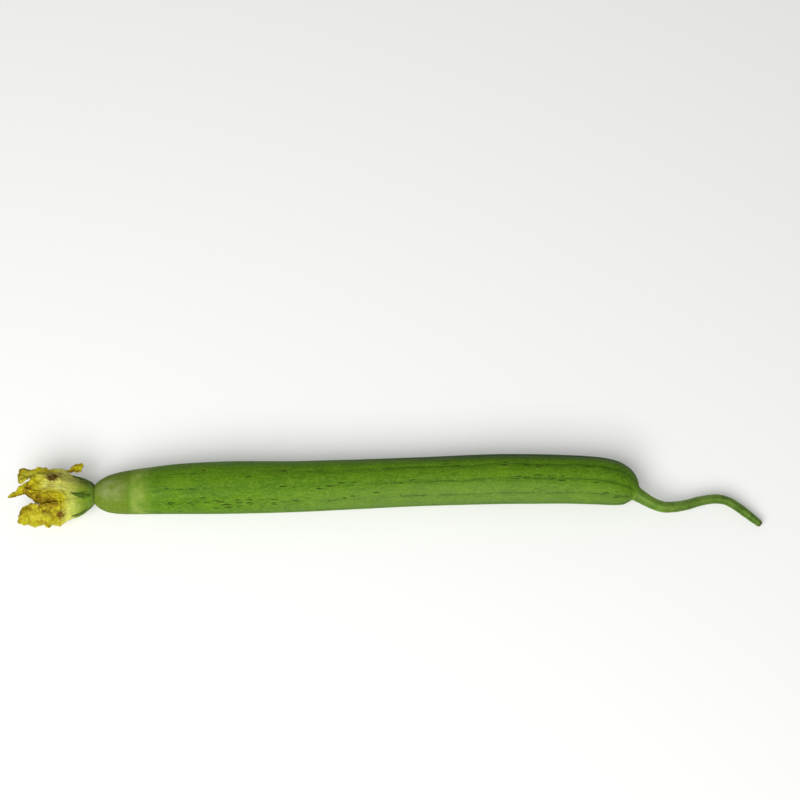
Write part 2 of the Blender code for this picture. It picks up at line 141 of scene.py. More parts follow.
# Patches of the skin: the middle and the size of each, along the fruit in units of 100 mm and
# round it in turns, the share of its size within which it is full, and how strong it is there.
# They are a rubbed patch that is crowded with dashes, the dome's bloom, a painted highlight low
# on the near side and painted shade along the far side.
RUBBED = ((0.95, 1.15), (0.5, 0.07), 0.4, 0.6)
DUST = ((0.14, 1), (0.16, 0.15), 0.2, 0.6)
NEAR_SIDE_HIGHLIGHT = ((2.6, 1.17), (2, 0.15), 0.2, 0.15)
FAR_SIDE_SHADE = ((2.9, 0.78), (1.5, 0.17), 0.35, 0.85)
# Where the dome and the paler band behind it end, in units of 100 mm, how strong the dome's
# green is, how far the band stands out, and how long the skin's swells are, in millimetres.
DOME_END, DOME_GREEN = 0.272, 0.85
BAND_END, BAND_RISE = 0.375, 0.12
UNEVEN_LENGTH = 30
# What changes along the fruit, in units of 100 mm, and along the stalk, in millimetres: from
# where, to where, and between which values if they aren't 0 and 1.
MARKS_BEGIN = (0.35, 0.6)
LINES_MEND = (0.5, 2.5, -0.12, 0.1)
GROOVES_DARKEN = (1.5, 3.5, 0.1, 0.32)
STALK_DARKENS = (15, 42, 0.15, -0.1)
STALK_BLOOM_AND_SHEEN = (0, 30, 0.1)

# The stalk starts inside the fruit and narrows towards its cut end, which is rounded over and
# is brown all over in its last stretch.
STALK_RIBS = 5
STALK_SUNK, SUNK_SHARE = 3, 0.85
TAPER_LENGTH, TAPER = 13, 0.2
CUT_ROUND, CUT_SHARE, CUT_BROWN = 2.2, 0.5, 0.3
HAIR_THICKNESS = 0.04

VIEW_TARGET = Vector((0.0088, 0.0667, 0.018))
FLOOR_SIZE = 6000

# Names of the attributes that the patterns of the materials follow.
PLACE = "place"
FROM_NECK = "from_neck"
PETAL_VALUES = (FROM_NECK, "withered", "edge", "crease", "rot")

# The kinds of node and the setting that are used most.
COORDS, SPLIT, NAMED = "ShaderNodeTexCoord", "ShaderNodeSeparateXYZ", "ShaderNodeAttribute"
NOISE, RANGE, MIX = "ShaderNodeTexNoise", "ShaderNodeMapRange", "ShaderNodeMix"
VECTOR, STORED = "ShaderNodeVectorMath", "GeometryNodeInputNamedAttribute"
EASED = {"interpolation_type": "SMOOTHSTEP"}


def linear(code):
    """The linear colour of an sRGB hex code."""
    shares = [int(code[i : i + 2], 16) / 255 for i in (0, 2, 4)]
    return tuple(c / 12.92 if c <= 0.04045 else ((c + 0.055) / 1.055) ** 2.4 for c in shares)


def smooth(low, high, value):
    """0 below low, 1 above high, and an S-curve between."""
    share = min(1, max(0, (value - low) / (high - low)))
    return share * share * (3 - 2 * share)


def spline(stations, steps, at):
    """The smooth curve through stations, whose parameter steps[i] belongs to stations[i]."""
    last = len(stations) - 1
    i = max(k for k in range(last) if steps[k] <= at or k == 0)
    width = steps[i + 1] - steps[i]
    share = (at - steps[i]) / width
    values = []
    for column in range(len(stations[0])):

        def slope(k):
            before, after = max(k - 1, 0), min(k + 1, last)
            rise = stations[after][column] - stations[before][column]
            return rise / (steps[after] - steps[before])

        start, end = stations[i][column], stations[i + 1][column]
        values.append(
            (2 * share**3 - 3 * share**2 + 1) * start
            + (share**3 - 2 * share**2 + share) * width * slope(i)
            + (3 * share**2 - 2 * share**3) * end
            + (share**3 - share**2) * width * slope(i + 1)
        )
    return values


def steps_of(stations, columns):
    """How far along its own line each station is, measured over those columns."""
    steps = [0]
    for a, b in zip(stations, stations[1:]):
        steps.append(steps[-1] + math.dist([a[c] for c in columns], [b[c] for c in columns]))
    return steps


FRUIT_RADIUS = max(radius for _, _, _, radius, _ in FRUIT_STATIONS)
GIRTH = 2 * math.pi * FRUIT_RADIUS
FRUIT_STEPS = steps_of(FRUIT_STATIONS, (0, 1, 3))
STALK_STEPS = steps_of(STALK_STATIONS, (0, 1, 2))
CONE_STEPS = [a for a, _ in PETAL_CONE]


def fill(tree, node, inputs):
    """Sets or links a node's inputs by name or number. A node that is given for an input lends
    its first live output."""
    for key, value in inputs.items():
        if isinstance(value, bpy.types.Node):
            value = next(out for out in value.outputs if out.enabled)
        if isinstance(value, bpy.types.NodeSocket):
            tree.links.new(value, node.inputs[key])
        else:
            node.inputs[key].default_value = value


def add(tree, kind, *inputs, **settings):
    """Adds a node of that type, or a Math node of that operation, with its settings. Inputs are
    given in their order, or in a dict by name or number."""
    if "Node" not in kind:
        kind, settings = "ShaderNodeMath", {"operation": kind, **settings}
    node = tree.nodes.new(kind)
    for name, value in settings.items():
        setattr(node, name, value)
    for number, value in enumerate(inputs):
        fill(tree, node, value if isinstance(value, dict) else {number: value})
    return node


def pattern(tree, at, scale, detail, low, high, least=0, most=1, **settings):
    """Noise whose values from low to high are stretched to run from least to most. Its scale is
    how many of its features lie in one unit of the place: where that is a metre, 1000 are 1 mm
    apart. Three scales draw it out along an axis, and detail is how many finer layers it has."""
    if isinstance(scale, tuple):
        at, scale = add(tree, "ShaderNodeMapping", {0: at, "Scale": scale}), 1
    values = add(tree, NOISE, {"Vector": at, "Scale": scale, "Detail": detail})
    return add(tree, RANGE, values, low, high, least, most, **settings)


def painted(tree, colour, *layers):
    """Paints layers over a colour: each has its share of what shows and its own colour."""
    for share, over in layers:
        under, over = (
            paint if isinstance(paint, (bpy.types.Node, bpy.types.NodeSocket)) else (*paint, 1)
            for paint in (colour, over)
        )
        colour = add(tree, MIX, {0: share, 6: under, 7: over}, data_type="RGBA")
    return colour


def new_material(name, roughness, ior=1.45, sheen=0.5):
    """A Principled material with the finish that is the same all over it; sheen is how
    strongly its surface mirrors light, where 0.5 is what its IOR gives when clean."""
    made = bpy.data.materials.new(name)
    made.use_nodes = True
    finish = {"Roughness": roughness, "IOR": ior, "Specular IOR Level": sheen}
    return surfaced(made, finish), made.node_tree


def surfaced(made, inputs, relief=None, strength=0.6, height=0.15):
    """Gives a material those inputs of its shader and a bump, whose height is in millimetres."""
    tree = made.node_tree
    shader = tree.nodes["Principled BSDF"]
    fill(tree, shader, inputs)
    if relief:
        rise = {"Height": relief, "Strength": strength, "Distance": height * MM}
        fill(tree, shader, {"Normal": add(tree, "ShaderNodeBump", rise)})
    return made


def geometry_tree(name, inputs):
    """A geometry tree with those named inputs and one for a material, and the sockets that give
    them."""
    tree = bpy.data.node_groups.new(name, "GeometryNodeTree")
    kinds = {"Geometry": "Geometry", **inputs, "Material": "Material"}
    for label, kind in kinds.items():
        tree.interface.new_socket(label, in_out="INPUT", socket_type="NodeSocket" + kind)
    tree.interface.new_socket("Geometry", in_out="OUTPUT", socket_type="NodeSocketGeometry")
    return tree, add(tree, "NodeGroupInput").outputs


def ended(tree, given, mesh):
    """Ends a geometry tree: the mesh gets its material and is handed out."""
    dressed = add(
        tree, "GeometryNodeSetMaterial", {"Geometry": mesh, "Material": given["Material"]}
    )
    add(tree, "NodeGroupOutput", dressed)
    return tree


def grid_mesh(name, points, closed=False):
    """A mesh of quads over rows of points, in metres; closed joins each row's two ends."""
    rows, columns = points.shape[:2]
    index = np.arange(rows * columns).reshape(rows, columns)
    if closed:
        index = np.hstack([index, index[:, :1]])
    corners = (index[:-1, :-1], index[:-1, 1:], index[1:, 1:], index[1:, :-1])
    faces = np.stack(corners, axis=-1).reshape(-1, 4)
    mesh = bpy.data.meshes.new(name)
    mesh.from_pydata((points.reshape(-1, 3) * MM).tolist(), [], faces.tolist())
    return mesh


def point_values(mesh, name, values):
    """Gives each vertex of the mesh its value, as a named attribute."""
    layer = mesh.attributes.new(name, "FLOAT", "POINT")
    layer.data.foreach_set("value", np.ravel(values).astype(np.float32))


def sheet_mesh(name, rows, columns, vertex, labels, closed=False):
    """A mesh over rows and columns, where vertex(row, column) gives each point and its values
    for those attributes."""
    points = np.zeros((rows, columns, 3))
    values = np.zeros((len(labels), rows, columns))
    for i in range(rows):
        for j in range(columns):
            points[i, j], values[:, i, j] = vertex(i, j)
    mesh = grid_mesh(name, points, closed)
    for label, layer in zip(labels, values):
        point_values(mesh, label, layer)
    return mesh


def linked(mesh, material=None):
    """An object of the mesh's own name in the scene, with its material if it has one yet."""
    if material:
        mesh.materials.append(material)
    made = bpy.data.objects.new(mesh.name, mesh)
    bpy.context.scene.collection.objects.link(made)
    return made


def settled(made):
    """The object with its modifiers turned into plain mesh."""
    graph = bpy.context.evaluated_depsgraph_get()
    evaluated = made.evaluated_get(graph)
    mesh = bpy.data.meshes.new_from_object(
        evaluated, preserve_all_data_layers=True, depsgraph=graph
    )
    made.modifiers.clear()
    made.data = mesh
    return made


def grown(made, tree, material, values):
    """Runs a geometry tree on the object, with those inputs, and keeps its result."""
    values = {**values, "Material": material}
    modifier = made.modifiers.new(tree.name, "NODES")
    modifier.node_group = tree
    for item in tree.interface.items_tree:
        if item.in_out == "INPUT" and item.name in values:
            modifier[item.identifier] = values[item.name]
    return settled(made)


def walled(made, wall):
    """Gives an open sheet its thickness, half to each side, and settles it."""
    thick = made.modifiers.new("Wall", "SOLIDIFY")
    thick.thickness = wall
    thick.offset = 0
    settled(made).data.shade_smooth()
    return made


def finished(made, node):
    """Hands a finished piece to the frame: it rides on the one body and replaces its node."""
    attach(made, "root")
    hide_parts(node)


# The fruit

def around(tree, place, middle, size, inner, most):
    """How near a place on the skin is to a middle, from 0 at its rim to most well inside."""
    off = add(tree, VECTOR, place, (*middle, 0), operation="SUBTRACT")
    off = add(tree, VECTOR, off, (*size, 1), operation="DIVIDE")
    off = add(tree, VECTOR, off, operation="LENGTH").outputs["Value"]
    return add(tree, RANGE, off, 1, inner, 0, most, **EASED)


def skin_material(look):
    """Luffa rind: tough green skin under a thin wax, so broad soft highlights and a grey
    sheen at its edges. Dark lines run along its grooves, with rows of short dark dashes
    beside them, and the end at the flower is paler, where the bloom still lies on it. Painted
    shade darkens the grooves and the far side, and a painted highlight lies low on the near side."""
    made, tree = new_material("Luffa rind, waxed green skin", look.roughness, 1.4, look.wax)
    here = add(tree, COORDS).outputs["Object"]
    place = add(tree, "ShaderNodeUVMap", uv_map=PLACE)
    along, turn, _ = add(tree, SPLIT, place).outputs

    # How far each place is from the middle of its groove, in millimetres. The noise runs over
    # 40 mm, so a line wanders slowly.
    slow = add(tree, NOISE, {"Vector": here, "Scale": 24, "Detail": 2})
    wander = add(tree, "MULTIPLY", add(tree, "ADD", slow, -0.5), LINE_WANDER)
    rib = add(tree, "ADD", add(tree, "MULTIPLY", turn, RIBS), wander)
    rib = add(tree, "FRACT", add(tree, "ADD", rib, 0.5 - FIRST_GROOVE * RIBS / 360))
    off = add(tree, "ABSOLUTE", add(tree, "SUBTRACT", rib, 0.5))
    off = add(tree, "MULTIPLY", off, GIRTH / RIBS)

    # The lines break up into stretches of about 10 mm, and less so towards the stalk.
    line = add(tree, RANGE, off, LINE_WIDTH, LINE_WIDTH * LINE_CORE, **EASED)
    broken = add(tree, "ShaderNodeMapping", {0: here, "Scale": (90, 420, 420)})
    broken = add(tree, NOISE, {"Vector": broken, "Scale": 1, "Detail": 1})
    mended = add(tree, RANGE, along, *LINES_MEND)
    broken = add(tree, RANGE, add(tree, "ADD", broken, mended), 0.45, 0.62)
    line = add(tree, "MULTIPLY", line, broken)

    # A dash may lie in each cell. The cell's own draw says whether it does and how large it is.
    shiver = add(tree, NOISE, {"Vector": here, "Scale": 260, "Detail": 3}).outputs["Color"]
    shiver = add(tree, VECTOR, shiver, SHIVER, operation="MULTIPLY")
    cells = add(tree, VECTOR, place, shiver, operation="ADD")
    size = (100 / DASH_LENGTH, GIRTH / DASH_SPACING, 1)
    cells = add(tree, "ShaderNodeMapping", {0: cells, "Scale": size})
    dash = add(
        tree,
        "ShaderNodeTexVoronoi",
        {"Vector": cells, "Scale": 1, "Randomness": 1},
        voronoi_dimensions="2D",
    )
    draw = add(tree, "ShaderNodeSeparateColor", dash.outputs["Color"]).outputs
    reach = add(tree, RANGE, draw[1], 0, 1, *DASH_FILLS)
    shape = add(tree, "SUBTRACT", reach, dash.outputs["Distance"])
    shape = add(tree, RANGE, shape, 0, DASH_EDGE)
    near = add(tree, RANGE, off, *DASH_NEAR)
    crowd = add(tree, "MULTIPLY", near, pattern(tree, here, 38, 1, 0.5, 0.62))
    crowd = add(tree, "MULTIPLY_ADD", crowd, DASH_SHARE, DASH_STRAY)
    crowd = add(tree, "ADD", crowd, around(tree, place, *RUBBED))
    dashes = add(tree, "MULTIPLY", shape, add(tree, "LESS_THAN", draw[0], crowd))
    dashes = add(tree, "MULTIPLY", dashes, look.dash_strength)
    line = add(tree, "MULTIPLY", line, look.line_strength)
    begun = add(tree, RANGE, along, *MARKS_BEGIN, **EASED)
    marks = add(tree, "MULTIPLY", add(tree, "MAXIMUM", dashes, line), begun)

    # The greens: long streaks, clouds and a fine mottle, with painted shade beside the grooves.
    streak = pattern(tree, here, (70, 800, 800), 3, 0.36, 0.64)
    cloud = pattern(tree, here, 60, 4, 0.3, 0.7)
    mottle = pattern(tree, here, 650, 2, 0.35, 0.65)
    fine = add(tree, MIX, {0: 0.45, 2: streak, 3: mottle})
    shade = add(tree, MIX, {0: 0.6, 2: cloud, 3: fine})
    # Painted shade: the green darkens in a band beside each groove, more so towards the stalk.
    groove_shade = add(tree, RANGE, off, GROOVE_SHADE_WIDTH, 0, **EASED)
    groove_shade = add(tree, "MULTIPLY", groove_shade, add(tree, RANGE, along, *GROOVES_DARKEN))
    shade = add(tree, "SUBTRACT", shade, groove_shade, use_clamp=True)

    # The dome at the flower, its bloom and the patchy band behind it.
    dome = add(tree, RANGE, along, DOME_END + 0.03, DOME_END - 0.04, **EASED)
    dome = add(tree, "MULTIPLY", dome, DOME_GREEN)
    dust = pattern(tree, here, 130, 4, 0.32, 0.6)
    dust = add(tree, "MULTIPLY", dust, around(tree, place, *DUST))
    rise = add(tree, RANGE, along, DOME_END - 0.015, DOME_END + 0.03, **EASED)
    fall = add(tree, RANGE, along, BAND_END + 0.08, BAND_END - 0.06, **EASED)
    band = add(tree, "MULTIPLY", rise, fall)
    band = add(tree, "MULTIPLY", band, pattern(tree, here, 170, 3, 0.36, 0.64, 0.35))
    specks = pattern(tree, here, (420, 620, 620), 2, 0.46, 0.72, 0, 0.27, **EASED)
    end = FRUIT_STEPS[-1]
    colour = painted(
        tree,
        look.rind_dark,
        (shade, look.rind),
        (dome, look.dome),
        (specks, look.specks),
        (dust, look.bloom_and_sheen),
        # Painted highlight: a pale patch low on the near side, in the pale grey-green of the dome.
        (around(tree, place, *NEAR_SIDE_HIGHLIGHT), look.bloom_and_sheen),
        # Painted shade: a deeper green along the far side of the fruit.
        (around(tree, place, *FAR_SIDE_SHADE), look.far_side_shade),
        (band, look.band),
        (marks, look.marks),
        (add(tree, RANGE, along, (end - 7) / 100, (end - 1) / 100, **EASED), look.joint),
    )

    pores = add(tree, NOISE, {"Vector": here, "Scale": 900, "Detail": 2})
    relief = add(tree, "ADD", add(tree, "MULTIPLY", streak, 0.5), pores)
    relief = add(tree, "SUBTRACT", relief, marks)
    waxed, worn = look.roughness - 0.06, look.roughness + 0.08
    rough = add(tree, RANGE, cloud, 0, 1, waxed, worn)
    return surfaced(made, {"Base Color": colour, "Roughness": rough}, relief, 0.5, 0.12)


def fruit_sheet():
    """The fruit's rings as a sheet: each vertex carries its ring and its turn round it. The
    first and the last ring are closed to a point."""
    rings = []
    for i in range(FRUIT_ROWS):
        even = i / (FRUIT_ROWS - 1)
        eased = (1 - math.cos(math.pi * even)) / 2
        along = FRUIT_STEPS[-1] * (even + ROUND_END_CROWDING * (eased - even))
        x, y, rise, radius, lean = spline(FRUIT_STATIONS, FRUIT_STEPS, along)
        swell = smooth(100 * DOME_END - 1, 100 * DOME_END + 2, along)
        swell -= smooth(100 * BAND_END - 4, 100 * BAND_END + 6, along)
        centre = (NECK.x + x, NECK.y + y, rise + radius)
        rings.append((*centre, radius + BAND_RISE * swell, lean, along))
    rings = np.array([rings[0], *rings, rings[-1]])
    rings[[0, -1], 3] = 0
    columns = FRUIT_SIDES + 1
    turns = 180 + 360 * np.arange(columns) / FRUIT_SIDES
    mesh = grid_mesh("fruit_skin", np.zeros((len(rings), columns, 3)))
    layer = mesh.attributes.new("centre", "FLOAT_VECTOR", "POINT")
    layer.data.foreach_set("vector", np.repeat(rings[:, :3], columns, axis=0).ravel())
    for name, column in (("radius", 3), ("lean", 4), ("along", 5)):
        point_values(mesh, name, np.repeat(rings[:, column], columns))
    point_values(mesh, "turn", np.tile(turns, len(rings)))
    corners = np.empty(len(mesh.loops), np.int32)
    mesh.loops.foreach_get("vertex_index", corners)
    flat = np.stack([np.repeat(rings[:, 5] / 100, columns), np.tile(turns / 360, len(rings))])
    mesh.uv_layers.new(name=PLACE).data.foreach_set("uv", flat.T[corners].ravel())
    return mesh


def ribbed_fruit_tree():
    """Lays a sheet's vertices on their rings, with ribs, a faint unevenness and a belly
    pressed flat."""
    tree, given = geometry_tree(
        "Ribbed fruit",
        {"Ribs": "Int", "First groove": "Float", "Groove depth": "Float", "Unevenness": "Float"},
    )
    radius, lean, along, turn = (
        add(tree, STORED, {"Name": name}) for name in ("radius", "lean", "along", "turn")
    )
    centre = add(tree, STORED, {"Name": "centre"}, data_type="FLOAT_VECTOR")
    angle = add(tree, "RADIANS", turn)
    sine, cosine = add(tree, "SINE", angle), add(tree, "COSINE", angle)

    phase = add(tree, "RADIANS", add(tree, "SUBTRACT", turn, given["First groove"]))
    phase = add(tree, "MULTIPLY", add(tree, "MULTIPLY", phase, given["Ribs"]), 0.5)
    across = add(tree, "ABSOLUTE", add(tree, "SINE", phase))
    hollow = add(tree, "SUBTRACT", 1, add(tree, "POWER", across, GROOVE_SHARPNESS))
    deepening = add(tree, RANGE, along, GROOVE_START, GROOVE_FULL, GROOVE_SHALLOW, **EASED)
    depth = add(tree, "MULTIPLY", hollow, deepening)
    depth = add(tree, "MULTIPLY", depth, given["Groove depth"])

    steps = add(tree, "MULTIPLY", along, 1 / UNEVEN_LENGTH)
    spot = add(tree, "ShaderNodeCombineXYZ", steps, sine, cosine)
    uneven = add(tree, NOISE, {"Vector": spot, "Scale": 0.8, "Detail": 2})
    uneven = add(tree, "MULTIPLY", add(tree, "SUBTRACT", uneven, 0.5), given["Unevenness"])
    begun = add(tree, RANGE, along, 0, GROOVE_START, **EASED)
    relief = add(tree, "MULTIPLY", add(tree, "SUBTRACT", uneven, depth), begun)
    share = add(tree, "DIVIDE", radius, FRUIT_RADIUS)
    ribbed = add(tree, "MULTIPLY_ADD", relief, share, radius)

    up = add(tree, "MULTIPLY", ribbed, cosine)
    side = add(tree, "MULTIPLY", add(tree, "MULTIPLY", ribbed, sine), -1)
    offset = add(
        tree,
        "ShaderNodeVectorRotate",
        {"Vector": add(tree, "ShaderNodeCombineXYZ", {1: side, 2: up})},
        {"Angle": add(tree, "RADIANS", lean)},
        rotation_type="Z_AXIS",
    )
    point = add(tree, VECTOR, centre, offset, operation="ADD")
    # Only the height is limited, so that the belly lies flat on the surface.
    point = add(tree, VECTOR, point, (-1e4, -1e4, 0), operation="MAXIMUM")
    point = add(tree, VECTOR, point, {"Scale": MM}, operation="SCALE")
    laid = add(
        tree, "GeometryNodeSetPosition", {"Geometry": given["Geometry"], "Position": point}
    )
    whole = add(tree, "GeometryNodeMergeByDistance", {"Geometry": laid, "Distance": MERGE})
    return ended(tree, given, add(tree, "GeometryNodeSetShadeSmooth", whole))


# The stalk

def stalk_material(look):
    """Green pedicel: fibrous and faintly ribbed, with painted shade in the hollows of its ribs, a
    painted grey sheen, partly a real grey coating, on the side facing +Y, and a dry brown face
    where it was cut."""
    made, tree = new_material(
        "Luffa pedicel, ribbed green stalk", look.roughness, 1.4, look.wax
    )
    here = add(tree, COORDS).outputs["Object"]
    along, turn = (
        add(tree, NAMED, attribute_name=name).outputs["Fac"] for name in ("along", "turn")
    )
    # Painted shade: the green is lighter on the ribs and darker in their hollows, round the stalk.
    ridge = add(tree, "COSINE", add(tree, "MULTIPLY", turn, STALK_RIBS))
    ridge = add(tree, RANGE, ridge, -1, 1)
    # Threads run along the stalk, each about 2 mm long and 0.7 mm wide.
    threads = add(
        tree,
        "ShaderNodeCombineXYZ",
        add(tree, "MULTIPLY", along, 0.12),
        add(tree, "SINE", turn),
        add(tree, "COSINE", turn),
    )
    threads = pattern(tree, threads, 4.5, 2, 0.38, 0.62)
    ridge = add(tree, MIX, {0: 0.5, 2: ridge, 3: threads})
    blotch = pattern(tree, here, 130, 5, 0.36, 0.64)
    shade = add(tree, MIX, {0: 0.55, 2: blotch, 3: ridge})
    darker = add(tree, RANGE, along, *STALK_DARKENS)
    shade = add(tree, "ADD", shade, darker, use_clamp=True)
    # Painted sheen, partly the stalk's real grey coating: paler on the side whose normal faces +Y.
    normal = add(tree, "ShaderNodeNewGeometry").outputs["Normal"]
    bloom_and_sheen = add(tree, RANGE, add(tree, SPLIT, normal).outputs[1], 0.1, 1, 0, 0.5)
    bloom_and_sheen = add(tree, "MULTIPLY", bloom_and_sheen, add(tree, RANGE, along, *STALK_BLOOM_AND_SHEEN, **EASED))
    end = STALK_STEPS[-1]
    cut = add(tree, RANGE, along, end - CUT_ROUND, end - CUT_BROWN, **EASED)
    colour = painted(
        tree, look.stalk_dark, (shade, look.stalk), (bloom_and_sheen, look.bloom_and_sheen), (cut, look.cut)
    )
    fibre = add(tree, NOISE, {"Vector": here, "Scale": 1100, "Detail": 3})
    return surfaced(made, {"Base Color": colour}, fibre)


def stalk_path():
    """A line of vertices down the middle of the stalk, with its radius at each. It starts
    inside the fruit's shoulder and rounds over at the cut."""
    line = []
    end = STALK_STEPS[-1]
    for i in range(STALK_ROWS):
        at = end * i / (STALK_ROWS - 1)
        x, y, z, radius = spline(STALK_STATIONS, STALK_STEPS, at)
        radius *= 1 - TAPER * smooth(end - TAPER_LENGTH, end, at)
        rounding = min(1, max(0, end - at) / CUT_ROUND)
        radius *= CUT_SHARE + (1 - CUT_SHARE) * math.sqrt(1 - (1 - rounding) ** 2)
        line.append((NECK + Vector((x, y, z)), radius, at))
    start, flare, _ = line[0]
    into = (start - line[1][0]).normalized() * STALK_SUNK
    line.insert(0, (start + into, flare * SUNK_SHARE, -STALK_SUNK))
    mesh = bpy.data.meshes.new("stalk_stem")
    edges = [(i, i + 1) for i in range(len(line) - 1)]
    mesh.from_pydata([tuple(place * MM) for place, _, _ in line], edges, [])
    point_values(mesh, "radius", [radius for _, radius, _ in line])
    point_values(mesh, "along", [at for _, _, at in line])
    return mesh


def ribbed_stalk_tree():
    """Sweeps a ribbed round along a line of vertices that carry their radius."""
    tree, given = geometry_tree(
        "Ribbed stalk",
        {"Ribs": "Int", "Rib depth": "Float", "Sides": "Int", "Unevenness": "Float"},
    )
    ring = add(
        tree, "GeometryNodeCurvePrimitiveCircle", {"Resolution": given["Sides"], "Radius": MM}
    )
    spot = add(tree, "GeometryNodeInputPosition")
    split = add(tree, SPLIT, spot).outputs
    angle = add(tree, "ARCTAN2", split[1], split[0])
    ring = add(
        tree,
        "GeometryNodeStoreNamedAttribute",
        {"Geometry": ring, "Name": "turn", "Value": angle},
        data_type="FLOAT",
    )
    wave = add(tree, "COSINE", add(tree, "MULTIPLY", angle, given["Ribs"]))
    wave = add(tree, "ADD", add(tree, "MULTIPLY", wave, given["Rib depth"]), 1)
    ribbed = add(tree, VECTOR, spot, {"Scale": wave}, operation="SCALE")
    ring = add(tree, "GeometryNodeSetPosition", {"Geometry": ring, "Position": ribbed})
    line = add(tree, "GeometryNodeMeshToCurve", {"Mesh": given["Geometry"]})
    radius = add(tree, STORED, {"Name": "radius"})
    swept = add(
        tree,
        "GeometryNodeCurveToMesh",
        {"Curve": line, "Profile Curve": ring, "Scale": radius, "Fill Caps": True},
    )
    uneven = add(tree, NOISE, {"Vector": spot, "Scale": 140, "Detail": 3})
    uneven = add(tree, "MULTIPLY", add(tree, "SUBTRACT", uneven, 0.5), given["Unevenness"])
    outwards = add(tree, "GeometryNodeInputNormal")
    push = add(tree, VECTOR, outwards, {"Scale": uneven}, operation="SCALE")
    swept = add(tree, "GeometryNodeSetPosition", {"Geometry": swept, "Offset": push})
    return ended(tree, given, add(tree, "GeometryNodeSetShadeSmooth", swept))


def hair_tree():
    """Grows short hairs, scattered by a fixed seed, out of a surface."""
    tree, given = geometry_tree(
        "Short hairs",
        {"Density": "Float", "Length": "Float", "Thickness": "Float", "Seed": "Int"},
    )
    spots = add(
        tree,
        "GeometryNodeDistributePointsOnFaces",
        {"Mesh": given["Geometry"], "Density": given["Density"], "Seed": given["Seed"]},
    ).outputs
    hair = add(
        tree,
        "GeometryNodeMeshCone",
        {"Vertices": 3, "Radius Top": 0, "Radius Bottom": given["Thickness"]},
        {"Depth": given["Length"]},
        fill_type="NGON",
    )
    tilt = add(
        tree,
        "FunctionNodeRandomValue",
        {"Min": (-0.5, -0.5, 0), "Max": (0.5, 0.5, 6.283), "Seed": 3},
        data_type="FLOAT_VECTOR",
    )
    turned = add(
        tree, "FunctionNodeRotateRotation", spots["Rotation"], tilt, rotation_space="LOCAL"
    )
    size = add(tree, "FunctionNodeRandomValue", {2: 0.5, 3: 1.1, "Seed": 5}, data_type="FLOAT")
    standing = add(
        tree,
        "GeometryNodeInstanceOnPoints",
        {"Points": spots["Points"], "Instance": hair.outputs["Mesh"]},
        {"Rotation": turned, "Scale": size},
    )
    return ended(tree, given, add(tree, "GeometryNodeRealizeInstances", standing))


def hair_material(look):
    """Plant hairs: short, pale and translucent, seen only as a faint grey down."""
    made, _ = new_material("Plant hairs, pale down", 0.6, 1.4)
    return surfaced(made, {"Base Color": (*look.hair, 1)})


def haired(surface, name, seed, look):
    """A piece of its own that holds the hairs on a finished surface."""
    mesh = surface.data.copy()
    mesh.name = name
    mesh.materials.clear()
    values = {
        "Density": look.hairiness / MM**2,
        "Length": look.hair_length,
        "Thickness": HAIR_THICKNESS * MM,
        "Seed": seed,
    }
    return grown(linked(mesh), hair_tree(), hair_material(look), values)


# The flower

@dataclass
class Petal:
    """One wilted petal: a strip along a line of stations, from the cone to its torn tip.

    A station is how far along the axis it is, its distance from the axis, its turn, the
    petal's half width there, and its roll, which is 0 where the petal faces outwards and 90
    where it stands on edge. bend is the radius that it is bowed to across; folds and depth
    are the waves across it; curl lifts its two margins; ragged is how torn its tip is. Its
    tissue is still calm for v between calm[0] and calm[1] and u up to calm[2], and has
    shrivelled elsewhere, as strongly as crepe says; age is how far its yellow has turned. It
    hugs the cone up to hugs[0] along the axis and follows its own stations from hugs[1].
    Of its two margins, browned is the one that has turned gold far in from its edge."""

    name: str
    stations: tuple
    bend: float
    folds: float
    depth: float
    curl: tuple
    ragged: float
    seed: float
    calm: tuple
    crepe: float
    age: float
    hugs: tuple = (12, 24)
    browned: int = 0

    def __post_init__(self):
        self.steps = steps_of(self.stations, (0, 1))


def on_cone(turn):
    """A petal's first two stations, where it is joined to the others in the cone."""
    return (1.5, 5.5, turn, 3, 0), (9, 11.5, turn, 8.5, 0)


